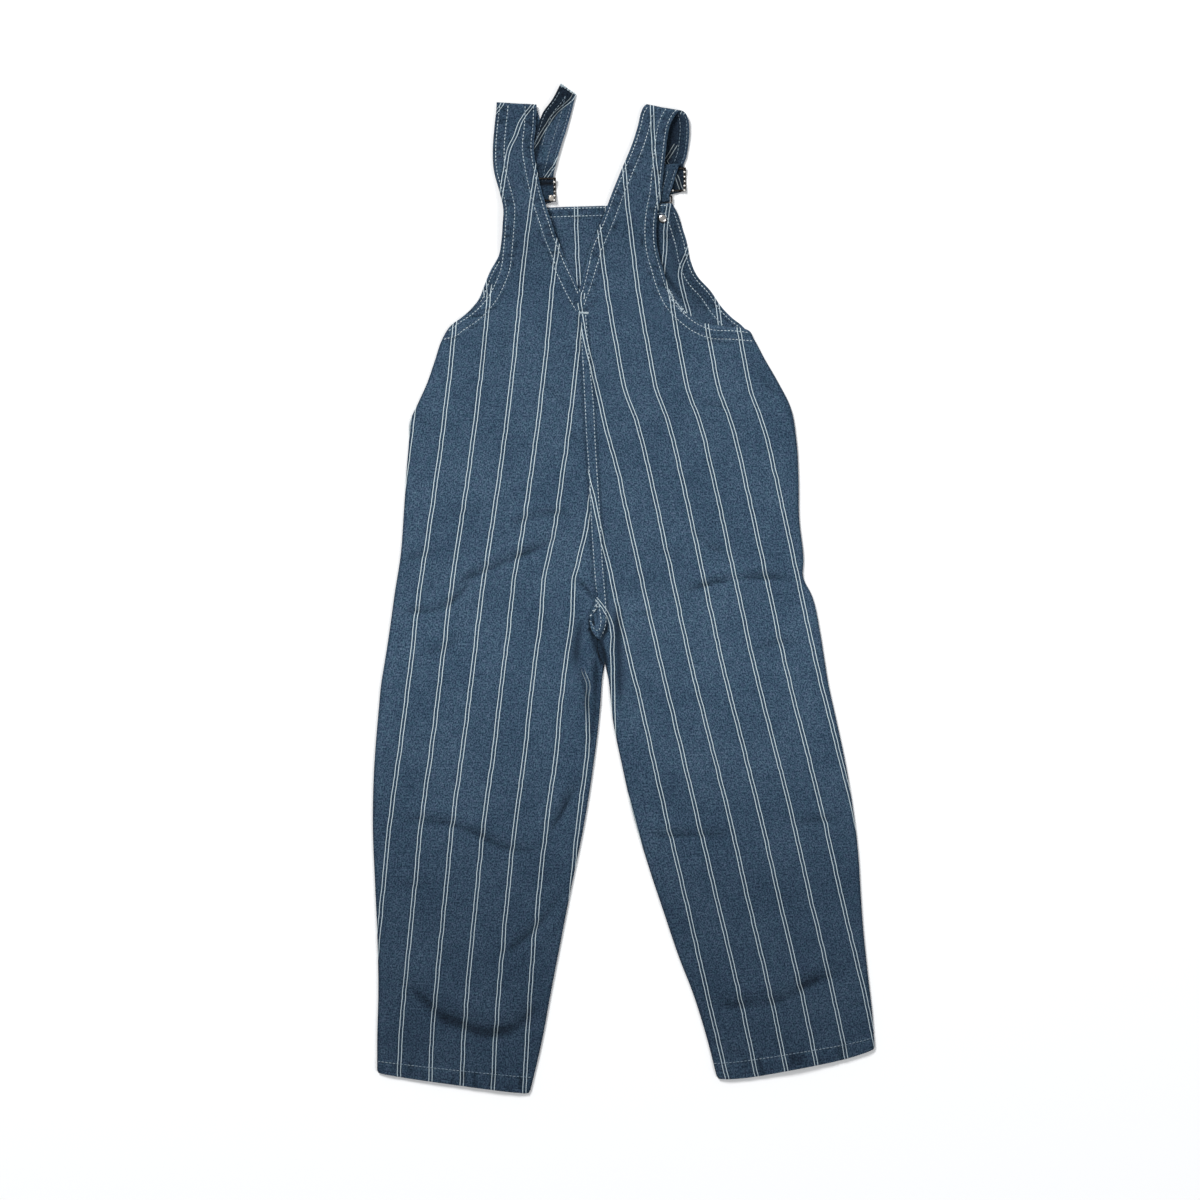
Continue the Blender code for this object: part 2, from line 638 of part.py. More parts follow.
def left_back_sections():
    """Return the sections of the left back and its strap, from the hem to the loose end."""
    fold = half_turn(FOLD_LEFT, FOLD_RIGHT, (0, 1), FOLD_REACH, STRAP_BACK_Z, FRONT_Z, steps=4)
    return (
        BACK_LEFT_LEG
        + BACK_LEFT_SEAT
        + LEFT_STRAP_BACK
        + fold
        + LEFT_STRAP_FRONT
        + through_slide(LEFT_SLIDE, FRONT_Z, OVER_BAR_Z, upwards=False)
        + LEFT_TO_HOOK
        + round_hook(LEFT_HOOK, LEFT_HOOK_TURN, LEFT_HOOK_Z)
        + LEFT_FROM_HOOK
        + through_slide(LEFT_SLIDE, FRONT_Z + LAYER, OVER_BAR_Z + LAYER, upwards=True)
        + LEFT_STRAP_END
    )


def right_back_sections():
    """Return the sections of the right back and its strap, from the hem to the loose end."""
    return (
        BACK_RIGHT_LEG
        + BACK_RIGHT_SEAT
        + RIGHT_STRAP_BACK
        + RIGHT_STRAP_TURN
        + through_slide(RIGHT_SLIDE, FRONT_Z, OVER_BAR_Z, upwards=False)
        + RIGHT_TO_HOOK
        + round_hook(RIGHT_HOOK, RIGHT_HOOK_TURN, RIGHT_HOOK_Z)
        + RIGHT_STRAP_END
    )


def build():
    """Build every piece of the dungarees."""
    for old in list(bpy.data.objects):
        bpy.data.objects.remove(old)

    denim = make_material("denim", DENIM, 0.85)
    inside = make_material("denim inside", DENIM_INSIDE, 0.9)
    gunmetal = make_material("gunmetal", GUNMETAL, 0.35, metallic=1.0)
    steel = make_material("steel", STEEL, 0.3, metallic=1.0)

    add_sheet("front_left", FRONT_LEFT, 4, 24, denim, FRONT_Z, seam=(FRONT_SEAM, "right"))
    add_sheet("front_right", FRONT_RIGHT, 4, 24, denim, FRONT_Z, seam=(FRONT_SEAM, "left"))
    add_sheet("bib", BIB, bib_columns(), BIB_SPACING, inside, FRONT_Z, rise=bib_rise)
    for side, sections, folds, seam_edge in (
        ("left", left_back_sections(), LEFT_FOLDS, "right"),
        ("right", right_back_sections(), RIGHT_FOLDS, "left"),
    ):
        add_sheet(
            f"back_{side}",
            sections,
            PANEL_COLUMNS,
            LEG_SPACING,
            denim,
            BACK_Z,
            rise=fold_rise(folds),
            seam=(BACK_SEAM, seam_edge),
        )

    bars_over_one = SLIDE_PLATE / 2 + WALL + GAP
    bars_over_two = bars_over_one + WALL + GAP
    add_slide("slide_left", LEFT_SLIDE, bars_over_two, gunmetal)
    add_slide("slide_right", RIGHT_SLIDE, bars_over_one, gunmetal)
    add_hook("hook_left", LEFT_HOOK, LEFT_HOOK_TURN, LEFT_HOOK_Z, gunmetal)
    add_hook("hook_right", RIGHT_HOOK, RIGHT_HOOK_TURN, RIGHT_HOOK_Z, gunmetal)
    add_button("left", LEFT_BUTTON, steel)
    add_button("right", RIGHT_BUTTON, steel)


build()
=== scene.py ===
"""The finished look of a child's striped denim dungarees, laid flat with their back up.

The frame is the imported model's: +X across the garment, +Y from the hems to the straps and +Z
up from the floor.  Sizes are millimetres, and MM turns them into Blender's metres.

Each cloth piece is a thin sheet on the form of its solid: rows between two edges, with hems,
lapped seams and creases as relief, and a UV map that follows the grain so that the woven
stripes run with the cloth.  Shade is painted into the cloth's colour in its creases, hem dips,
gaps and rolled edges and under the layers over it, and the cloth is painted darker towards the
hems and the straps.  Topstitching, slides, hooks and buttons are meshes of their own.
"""

import logging
import math
from dataclasses import dataclass, field
from enum import Enum

import bpy
import numpy as np
from bpy.types import Material, Node, NodeSocket, NodeTree, Object
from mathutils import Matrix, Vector, noise
from mathutils.bvhtree import BVHTree


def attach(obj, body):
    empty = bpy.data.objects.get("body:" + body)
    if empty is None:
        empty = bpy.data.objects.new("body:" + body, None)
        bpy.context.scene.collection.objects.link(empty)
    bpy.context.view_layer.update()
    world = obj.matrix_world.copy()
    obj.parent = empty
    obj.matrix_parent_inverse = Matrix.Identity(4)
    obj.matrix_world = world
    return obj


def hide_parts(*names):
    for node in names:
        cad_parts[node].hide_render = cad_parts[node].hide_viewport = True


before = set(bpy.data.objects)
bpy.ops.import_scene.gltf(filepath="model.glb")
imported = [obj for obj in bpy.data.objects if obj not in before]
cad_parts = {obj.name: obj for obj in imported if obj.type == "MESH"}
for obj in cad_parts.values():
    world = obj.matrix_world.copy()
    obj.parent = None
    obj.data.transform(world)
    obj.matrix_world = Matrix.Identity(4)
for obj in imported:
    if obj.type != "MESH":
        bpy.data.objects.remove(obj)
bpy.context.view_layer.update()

LOG = logging.getLogger("dungarees")
MM = 0.001
BODY = "root"

WALL = 1.0                     # thickness of the denim
GAP = 0.3                      # clearance between layers
FRONT_Z = WALL / 2             # middle of a layer on the floor
BACK_Z = FRONT_Z + WALL + GAP  # middle of a layer that lies on another
SEAM_Z = 2.6                   # middle of the backs where the centre back seam joins them
WAIST_Y = 170.0                # height of the waist seam

Point = tuple[float, ...]
Triple = tuple[float, float, float]
Array = np.ndarray


# ---------------- small geometry helpers


def smooth_step(value: Array | float) -> Array | float:
    """Return a smooth 0 to 1 for a value that runs from 0 to 1."""
    value = np.clip(value, 0.0, 1.0)
    return value * value * (3 - 2 * value)


def soft_ridge(away: Array, width: float) -> Array:
    """Return a soft ridge of height 1, from the distance to its middle."""
    return np.exp(-((away / width) ** 2))


def read_table(place: Array, table: list[Point] | tuple[Point, ...]) -> Array:
    """Return the second value of a table's pairs at places that are given as their first."""
    return np.interp(place, *zip(*table))


def distances(line: Array) -> Array:
    """Return how far each point of a line is from its start, along the line."""
    return np.concatenate([[0], np.cumsum(np.linalg.norm(np.diff(line, axis=0), axis=1))])


def smooth_curve(
    points: list[Point] | tuple[Point, ...], spacing: float, flat: tuple[int, ...] = ()
) -> Array:
    """Draw a smooth line through points.

    Args:
        points: the numbers of each point; the first two or three are its place.
        spacing: distance between the returned points.
        flat: numbers that never run past their neighbours, such as heights between layers.

    Returns:
        An array with one point a row.
    """
    knots = np.array(points, dtype=float)
    steps = np.diff(knots, axis=0)
    lengths = np.linalg.norm(steps[:, :2] if knots.shape[1] < 6 else steps[:, 0:3], axis=1)
    if knots.shape[1] >= 6:
        lengths = (lengths + np.linalg.norm(steps[:, 3:6], axis=1)) / 2
    lengths = np.maximum(lengths, 1e-6)
    slopes = steps / lengths[:, None]
    tangents = np.empty_like(knots)
    tangents[0], tangents[-1] = slopes[0], slopes[-1]
    before, after = lengths[:-1, None], lengths[1:, None]
    tangents[1:-1] = (slopes[:-1] * after + slopes[1:] * before) / (before + after)
    for column in flat:
        low, high = slopes[:-1, column], slopes[1:, column]
        same = low * high > 0
        tangents[1:-1, column] = np.where(same, 2 * low * high / np.where(same, low + high, 1), 0)
    rows = [knots[0]]
    for index, length in enumerate(lengths):
        count = max(1, round(length / spacing))
        for step in range(1, count + 1):
            u = step / count
            rows.append(
                (2 * u**3 - 3 * u**2 + 1) * knots[index]
                + (u**3 - 2 * u**2 + u) * length * tangents[index]
                + (3 * u**2 - 2 * u**3) * knots[index + 1]
                + (u**3 - u**2) * length * tangents[index + 1]
            )
    return np.array(rows)


def to_path(x: Array, y: Array, path: Array) -> tuple[Array, Array, Array]:
    """Measure places against a path.

    Args:
        x, y: the places.
        path: the path's points, one a row.

    Returns:
        The distance to the path, the side (+1 on the left of its direction, −1 on the right)
        and how far along it the nearest point is, 0 to 1.
    """
    best = np.full(x.shape, 1e9)
    side = np.ones(x.shape)
    along = np.zeros(x.shape)
    spans = np.linalg.norm(np.diff(path[:, :2], axis=0), axis=1)
    starts = np.concatenate([[0], np.cumsum(spans)])
    for index, span in enumerate(spans):
        start, end = path[index, :2], path[index + 1, :2]
        direction = (end - start) / max(span, 1e-9)
        dx, dy = x - start[0], y - start[1]
        share = np.clip(dx * direction[0] + dy * direction[1], 0, span)
        away = np.hypot(dx - share * direction[0], dy - share * direction[1])
        nearer = away < best
        best = np.where(nearer, away, best)
        side = np.where(nearer, np.sign(direction[0] * dy - direction[1] * dx), side)
        along = np.where(nearer, (starts[index] + share) / starts[-1], along)
    return best, side, along


def ripple(x: Array, y: Array, size: float, seed: float, stretch: float = 1.0) -> Array:
    """Return smooth uneven waves, −1 to 1.

    Args:
        x, y: the places.
        size: width of a wave.
        seed: where in the noise the waves are taken.
        stretch: how many times longer than wide the waves are, along y.

    Returns:
        The waves' heights.
    """
    places = zip((x / size).ravel(), (y / size / stretch).ravel())
    values = [noise.noise(Vector((across, along, seed))) for across, along in places]
    return np.array(values).reshape(x.shape) * 1.6


def deselect_all() -> None:
    """Deselect every object, so that an operator acts on the new piece alone."""
    for chosen in list(bpy.context.selected_objects):
        chosen.select_set(False)


def apply_modifiers(piece: Object) -> None:
    """Apply all modifiers of an object."""
    deselect_all()
    bpy.context.view_layer.objects.active = piece
    piece.select_set(True)
    for modifier in list(piece.modifiers):
        bpy.ops.object.modifier_apply(modifier=modifier.name)
    piece.select_set(False)


# ---------------- the cut of the cloth


class Edge(Enum):
    """The two long edges of a sheet."""

    LEFT = 0
    RIGHT = -1


@dataclass(frozen=True)
class Section:
    """One line across a sheet.

    left and right are its ends as (x, y) or (x, y, z); crown is how far the sheet rises
    between them, and bow how far its middle runs towards −Y.
    """

    left: Point
    right: Point
    crown: float = 0.0
    bow: float = 0.0

    def row(self, rest: float) -> list[float]:
        """Return the section as eight numbers, with rest as the z of an end that has none."""
        ends: list[float] = []
        for end in (self.left, self.right):
            ends += list(end) if len(end) == 3 else [end[0], end[1], rest]
        return ends + [self.crown, self.bow]


def cut(
    rows: list[Point], ends: int = 2, left_z: float | None = None, right_z: float | None = None
) -> list[Section]:
    """Make sections of rows of numbers.

    Args:
        rows: for each section, the place of its left end and of its right end, then its crown
            and its bow where it has them.
        ends: how many numbers give an end's place: x and y, or also z.
        left_z, right_z: the height of the left and of the right ends, where it isn't in the
            rows and isn't the sheet's own.

    Returns:
        The sections.
    """
    left_end = () if left_z is None else (left_z,)
    right_end = () if right_z is None else (right_z,)
    return [
        Section((*row[:ends], *left_end), (*row[ends : 2 * ends], *right_end), *row[2 * ends :])
        for row in rows
    ]


@dataclass(frozen=True)
class Crease:
    """A soft trough along a path, with a ridge on the left of its direction.

    The ridge is negative for one on the right.  fade is the share of the length over which
    the crease dies away at its end, and head at its start.
    """

    path: tuple[Point, ...]
    width: float
    depth: float
    ridge: float = 0.0
    pull: float = 0.35
    head: float = 0.3
    fade: float = 0.3

    def relief(self, x: Array, y: Array) -> tuple[Array, Array, Array]:
        """Return the crease's height, the shade painted along it, 0 to 1, and how far it pulls the
        stripes.
        """
        route = smooth_curve(self.path, 4.0)
        away, side, along = to_path(x, y, route)
        strength = smooth_step(along / self.head) * smooth_step((1 - along) / self.fade)
        strength = strength * (0.86 + 0.14 * np.sin(9 * along + self.path[0][0]))
        trough = soft_ridge(away, self.width) * strength
        core = soft_ridge(away, 0.5 * self.width) * strength
        beyond = away * side * math.copysign(1, self.ridge) - 1.9 * self.width
        bank = soft_ridge(beyond, 1.5 * self.width) * strength * abs(self.ridge)
        near = away * side / self.width
        heading = math.copysign(1, self.path[-1][0] - self.path[0][0])
        drawn = self.pull * heading * near * np.exp(0.5 - near**2 / 2) * strength
        # painted shade along the crease, darkest in its middle
        darkness = (0.4 * trough + 0.6 * core) * min(2.0, self.depth / 2)
        return bank - self.depth * trough, darkness, drawn


# The sections of the legs and the seat, from the hem up.

BACK_LEFT_LEG = cut([
    (-222, -435.2, -85, -454, 0.8, 1.2), (-222, -404, -75, -412, 1.3), (-221, -360, -66, -364, 1.6),
    (-222, -310, -56, -312, 1.6), (-224, -265, -47, -266, 1.6), (-226, -212, -36, -212, 1.6),
    (-225, -165, -28.5, -165, 1.6), (-221, -112, -22, -112, 1.6), (-218, -82, -19.8, -82, 1.5),
    (-216, -70, -18.8, -69, 1.4), (-214, -58, -22.4, -59, 1.4),
])
BACK_LEFT_SEAT = [
    Section((-211, -38), (-24.6, -47, 2.2), crown=1.2),
    *cut([
        (-206, -2, -22.4, -9, 1.2), (-201, 30, -24.4, 26, 1.2), (-198, 70, -27.4, 64, 1.2),
        (-195.5, 108, -29.5, 100, 1.2), (-193.4, 134, -31.3, 135, 1.2),
        (-192.6, 150, -32.1, 151, 1.2), (-185.3, 167, -33.0, 168, 1.2),
        (-177.2, 185, -34.3, 188, 1.2), (-170.3, 205, -35.6, 210, 1.1),
        (-163.8, 224, -37.2, 232, 1.0), (-156, 236.6, -38.3, 247, 0.9),
        (-136, 251, -39.6, 259, 0.7), (-125, 263, -40.5, 268, 0.6),
    ], right_z=SEAM_Z),
    Section((-118, 276), (-44.8, 280, 2.2), crown=0.8),
]
BACK_RIGHT_LEG = cut([
    (84, -441, 225.5, -414, 0.8, 4.4), (74, -402, 223.5, -384, 1.3), (62.5, -365, 219.5, -348, 1.6),
    (49, -330, 215.5, -310, 1.6), (35.5, -290, 213, -276, 1.6), (23.5, -254, 211, -242, 1.6),
    (8.5, -204, 206, -198, 1.6), (-1.5, -160, 199, -156, 1.6), (-10, -118, 190.5, -116, 1.6),
    (-13.6, -84, 183.5, -84, 1.5), (-16.5, -62, 180, -62, 1.4),
])
BACK_RIGHT_SEAT = [
    *cut([
        (-21.5, -46, 176.5, -40, 1.2), (-22.1, -9, 168.6, -5, 1.2), (-23.1, 10, 161.0, 11, 1.2),
        (-24.1, 26, 161.4, 26, 1.2), (-27.1, 64, 157.5, 64, 1.2), (-29.2, 100, 157, 100, 1.2),
        (-31.0, 135, 155, 134, 1.2), (-32.7, 168, 149.2, 165, 1.2), (-34.0, 188, 138.6, 186, 1.2),
        (-35.3, 210, 126.5, 207, 1.1), (-36.9, 232, 116.8, 225, 1.0),
        (-38.0, 247, 111.6, 232.8, 0.9), (-38.9, 256, 93, 235, 0.8), (-39.7, 263, 80, 235.5, 0.7),
        (-40.2, 268, 69.3, 239.5, 0.6),
    ], left_z=SEAM_Z),
    Section((-37.5, 279, 2.2), (57, 248.2), crown=0.8),
    Section((-34.3, 291, 1.8), (47, 258.8), crown=1.1),
]

# The upper backs, over the hooks, the slides and the loose strap ends, up to the fold.

LEFT_STRAP_BACK = cut([
    (-113, 289, 2.0, -51, 293, 1.8, 1.4), (-111, 304, 3.9, -56.7, 307, 3.2, 1.8),
    (-109.8, 316, 5.8, -61.2, 317.5, 4.9, 1.5), (-109, 328, 7.0, -65, 329, 6.8, 0.9),
    (-108.5, 342, 7.4, -70, 344, 7.4, 0.6), (-112, 357, 5.4, -74, 358, 5.9, 0.4),
    (-117, 376, 3.6, -78, 376, 4.3, 0.2), (-118, 396, 3.1, -81, 397, 3.3),
    (-116.5, 416, 3.1, -79.3, 415, 3.1),
], ends=3)
RIGHT_STRAP_BACK = [
    Section((-31, 306, 1.8), (40, 272.5), crown=1.3),
    *cut([
        (-25, 320, 1.9, 34.5, 290.5, 2.0, 1.4), (-19, 334, 2.4, 30.3, 306, 3.5, 1.4),
        (-14.5, 346, 3.0, 29, 321, 5.1, 1.2), (-10, 358, 3.3, 30.3, 338, 6.0, 1.0),
        (-5.5, 369, 3.7, 33.6, 355, 6.2, 0.8), (-1, 380, 3.5, 35.2, 372, 6.0, 0.6),
        (4.2, 392, 3.2, 37.4, 391, 5.8, 0.4), (9, 405, 3.1, 39.2, 406, 5.8, 0.2),
        (12.6, 417, 3.1, 41.6, 417, 6.1),
    ], ends=3),
]
RIGHT_STRAP_TURN = cut([
    (15.2, 428, 3.1, 46.3, 425.5, 6.2), (17.6, 433.4, 2.9, 50.3, 429.5, 5.6),
    (20.4, 435.6, 1.9, 54.6, 428.2, 4.4), (22.6, 434.2, 0.9, 57.4, 423.6, 3.1),
    (25, 428, 0.5, 58.7, 415, 2.0), (28.2, 414, 0.5, 58.1, 401, 1.1),
    (30, 399, 0.5, 56.3, 389, 0.6),
], ends=3)
LEFT_STRAP_FRONT = cut([
    (-112.5, 428, 0.5, -77, 427, 0.5), (-102.5, 406, 0.5, -71.5, 406, 0.5),
    (-91.5, 386, 0.5, -65.3, 386, 0.5),
], ends=3)
LEFT_TO_HOOK = [Section((-88.0, 345.4, 1.1), (-71.0, 346.0, 1.1))]
LEFT_FROM_HOOK = [Section((-88.0, 346.4, 2.2), (-71.0, 347.0, 2.2))]
RIGHT_TO_HOOK = [Section((27.0, 355.8, 0.6), (49.0, 356.6, 0.6))]
LEFT_STRAP_END = cut([
    (-86.6, 384, 1.8, -60.7, 384, 1.8), (-82.2, 401, 1.8, -56.2, 400, 1.6),
    (-77.6, 416, 1.8, -51.6, 414, 1.2), (-72.6, 429, 2.6, -48.0, 426.5, 0.9),
    (-64.5, 440, 3.6, -45.6, 436, 0.8), (-57, 454, 4.2, -43.3, 445.2, 0.9),
], ends=3)
RIGHT_STRAP_END = cut([
    (22.4, 357, 4.0, 43.2, 360.4, 4.0), (24.3, 367, 3.3, 46.2, 370.5, 3.3),
    (28, 381, 3.3, 50, 382.6, 3.3),
], ends=3)

# The fronts, from the hem up to the waist seam, and the bib from there up.

FRONT_LEFT = cut([
    (-221.3, -434.2, -86, -452.6, 0, 1.2), (-221.3, -404, -76, -412), (-220.4, -360, -67, -364),
    (-221.4, -310, -57, -312), (-223.4, -265, -48, -266), (-225.3, -212, -37, -212),
    (-224.3, -165, -29.5, -165), (-220.3, -112, -22.6, -112), (-217.3, -82, -19.6, -80),
    (-214.8, -62, -17.3, -67), (-210.3, -38, -18.6, -46), (-205.4, -2, -21, -5),
    (-200.4, 30, -23, 28), (-197.4, 70, -26, 70), (-194.9, 108, -28, 105),
    (-192.8, 134, -30.5, 135), (-192.0, 150, -31.3, 150), (-183.6, WAIST_Y, -32.6, WAIST_Y),
])
FRONT_RIGHT = cut([
    (85, -439.6, 224.8, -413, 0, 4.2), (75, -402, 222.8, -384), (63.5, -365, 218.8, -348),
    (50, -330, 214.8, -310), (36.5, -290, 212.3, -276), (24.5, -254, 210.3, -242),
    (9.5, -204, 205.3, -198), (-0.7, -160, 198.3, -156), (-9.4, -118, 189.8, -116),
    (-13.4, -84, 182.8, -84), (-17.0, -67, 180.3, -67), (-18.3, -46, 176, -40),
    (-20.7, -5, 167.7, -5), (-21.7, 11, 160.2, 11), (-22.7, 28, 160.2, 28), (-25.7, 70, 156.8, 70),
    (-27.7, 105, 156, 105), (-30.2, 136, 153.8, 136), (-32.3, WAIST_Y, 146.2, WAIST_Y),
])
BIB = cut([
    (-183.3, WAIST_Y + GAP, 146.0, WAIST_Y + GAP), (-176.5, 185, 137.8, 186),
    (-169.7, 205, 126, 206), (-163.2, 223.5, 116.8, 224), (-154.8, 236.6, 107, 236),
    (-139, 250.5, 96, 245), (-131, 260, 87.5, 254), (-126, 272, 78, 268),
    (-120.5, 285.5, 66, 281.5), (-112.5, 300.5, 59.6, 296), (-110.5, 312, 57, 309.5),
    (-109.8, 318.5, 54.9, 317.5), (-109.4, 323, 53.2, 322.5), (-109.1, 327, 51.7, 327.5),
    (-108.8, 331, 50.0, 332.5), (-108.5, 336, 48.0, 338), (-108.2, 342, 43.4, 346.5),
])

# The folded edge of the right back on the centre back seam, as (y, x).

LAP_EDGE = [
    (-47, -21.0), (-43, -25.4), (-37, -29.4), (-30, -30.8), (-23, -30.2), (-15, -26.6), (-7, -25.2),
    (26, -27.9), (62, -30.1), (98, -31.6), (134, -34.2), (170, -36.0), (220, -38.7), (242, -40.6),
    (256, -42.2), (268, -41.4),
]

# The two stitch lines of the felled seam, down to its rounded end at the crotch, as (y, x).

FELL_LEFT = [
    (247, -39.9), (220, -37.8), (170, -35.1), (134, -33.3), (98, -30.6), (62, -29.2), (26, -27.0),
    (-7, -23.9), (-19, -21.8), (-31, -20.9), (-37.5, -23.0), (-36.5, -26.6), (-31, -28.4),
]
FELL_RIGHT = [
    (247, -34.6), (197, -30.6), (170, -27.9), (134, -26.1), (98, -23.9), (62, -21.6), (26, -19.8),
    (-10, -16.9), (-21, -16.2), (-30, -16.4), (-38, -18.2), (-43.5, -21.4),
]

# The stitch lines that bring the neckline's hems together above the bartack, as (x, y), for the
# back whose seam is on its right edge and for the one whose seam is on its left edge.

NECK_STITCHES = {
    Edge.RIGHT: [
        [(-54.6, 294.2), (-47.0, 278.5), (-40.6, 263.5)],
        [(-64.6, 292.0), (-59.4, 281.6), (-52.0, 266.0), (-42.6, 249.4)],
    ],
    Edge.LEFT: [
        [(-30.6, 294.3), (-35.1, 275.4), (-38.6, 262.0)],
        [(-23.4, 294.3), (-29.0, 275.5), (-36.9, 252.5)],
    ],
}
BARTACK = ((-44.3, 248.4), (-32.2, 248.0))

# Other edges and places near the seam and the right hip, as (y, x).

UNDER_LAP = [(-47, -24.6), (-15, -24.0), (0, -22.0)]  # the left back's edge under the lap
CROTCH_GAP = [(-80, -17.0), (-60, -19.0), (-40, -22.5)]  # the gap between the backs
HIP_TURN = [(100, 150.5), (135, 148.5), (165, 142), (186, 131.5), (207, 120), (225, 110.5)]
HIDDEN_STRIPES = [(-128, 0), (-108, 0.5), (-76, 0.6), (-72, 1), (-40, 1), (-34, 0)]  # y and share

# Worn edges with short broken threads: the (x, y) line, the number of threads and the seed.

FRAYED_EDGES = [
    ([(40, 269), (43.2, 264), (49.5, 254), (55.8, 248.5)], 46, 3),
    ([(-42.5, 266), (-43.4, 258), (-42.6, 251)], 8, 5),
    ([(-30.2, -30), (-29.8, -25), (-27.6, -20.5), (-25.4, -18)], 9, 7),
    ([(-24.6, -9), (-24.0, -13), (-25.5, -16)], 8, 9),
]

# One pair of woven stripes on each back, as (y, x), that the others run beside.

LEFT_STRIPE = [
    (-455, -174.6), (-406, -172.8), (-352, -168.3), (-280, -161.1), (-208, -153.9), (-136, -144.0),
    (-64, -135.0), (-10, -128.7), (44, -120.6), (98, -112.5), (152, -105.3), (206, -99.0),
    (251, -94.5), (287, -90.9), (323, -86.4), (350, -82.8), (373, -79.2), (386, -77.4),
    (397, -74.7), (410, -68.4), (418, -65.7), (436, -53.1),
]
RIGHT_STRIPE = [
    (-450, 150.0), (-433, 145.8), (-406, 140.4), (-352, 128.7), (-280, 111.6), (-208, 95.4),
    (-136, 77.4), (-64, 59.4), (-10, 47.7), (44, 36.0), (98, 24.3), (152, 10.8), (179, 0.9),
    (206, -4.5), (251, -12.6), (287, -18.0), (305, -20.1), (341, -24.6), (368, -27.2), (386, -28.8),
    (413, -30.7), (436, -31.5),
]
RIGHT_SEAM_STRIPE = [
    (-450, 121.8), (-406, 112.5), (-352, 100.8), (-280, 83.7), (-208, 66.6), (-136, 49.5),
    (-64, 32.4), (-10, 19.8), (44, 8.1), (71, 1.8), (98, -3.6), (125, -10.8), (152, -18),
    (170, -22), (199, -28.8), (224, -34.7), (248, -38.7), (266, -41), (305, -48.5), (341, -53),
    (436, -60),
]
RIGHT_CROTCH_STRIPE = [
    (-450, 95), (-406, 84.6), (-352, 72), (-280, 55.8), (-208, 38.7), (-136, 22.5), (-100, 14.4),
    (-64, 5.4), (-37, -0.9), (-10, -7.2), (17, -12.6), (44, -19.8), (71, -25.2), (98, -31.5),
    (206, -57), (266, -69), (341, -81), (436, -88),
]
RIGHT_INSEAM_STRIPE = [
    (-450, 67), (-406, 56.7), (-352, 44), (-280, 28.8), (-244, 18), (-208, 8.6), (-172, -0.9),
    (-136, -8.4), (-109, -9.6), (-75, -10.1), (-55, -10.6), (-37, -10.4), (-29, -12.1),
    (-19, -17.1), (-10, -24.1), (-4, -29), (17, -40), (98, -60), (206, -85), (436, -116),
]
LEFT_CROTCH_STRIPE = [
    (-455, -90), (-352, -83.7), (-208, -69.3), (-136, -59.8), (-109, -57.6), (-64, -52.2),
    (-25, -46.8), (0, -45.6), (10.8, -45.0), (22, -41.8), (35, -38.7), (44, -36.4), (98, -27.9),
    (152, -20.7), (206, -14.4), (287, -6.3), (436, 31.5),
]
LEFT_INSEAM_STRIPE = [
    (-455, -61.8), (-406, -60), (-352, -55.5), (-280, -48.3), (-208, -41.1), (-136, -32.5),
    (-101, -33.1), (-84.6, -32.3), (-72, -36.8), (-58, -35), (-45, -30), (-36, -24), (-10, -15.9),
    (98, 0.3), (436, 60),
]
LEFT_STRIPES = {0: LEFT_STRIPE, 3: LEFT_CROTCH_STRIPE, 4: LEFT_INSEAM_STRIPE}
RIGHT_STRIPES = {
    -3: RIGHT_INSEAM_STRIPE, -2: RIGHT_CROTCH_STRIPE, -1: RIGHT_SEAM_STRIPE, 0: RIGHT_STRIPE,
}
REPEAT = 28.2  # from one pair of stripes to the next
# Tone of the cloth by height, as (y, tone): painted shade, darker towards the hems and towards the
# straps.
TONES = [
    (-455, 0.55), (-400, 0.57), (-340, 0.63), (-262, 0.71), (-208, 0.82), (-136, 0.95), (-60, 1.06),
    (60, 1.03), (160, 1.0), (260, 0.97), (320, 0.82), (436, 0.74),
]
BIB_STRIPES = {
    0: [(150, -36.0), (260, -39.6), (305, -42.3), (345, -43.2)],
    3: [(150, 30.0), (240, 33.0), (289.8, 35.6), (305, 36.9), (324.4, 37.5), (345, 40.1)],
    4: [(150, 61), (225, 60), (247.2, 58.8), (258, 55.5), (269, 53.0), (285.8, 50.4), (293, 52.6),
        (301.2, 56.2), (320, 62)],
    5: [(150, 93), (237, 86.4), (260, 83.7), (345, 82)],
}
LEFT_STRAP_MOVES = ((0, 0), (12, -8.4), (100, -33), (130, -33), (142.5, -38.1), (157, -48.9),
    (171, -52.9), (220, -66.6))
RIGHT_STRAP_MOVES = ((0, 0), (30, 12.5), (36.2, 16.6), (48.7, 25.3), (62.7, 15.6), (75, 11.3),
    (90, 36), (130, 36))
PLAIN = 4.0    # the cloth beside a pair of stripes that a gather leaves at its true width


# ---------------- finishes


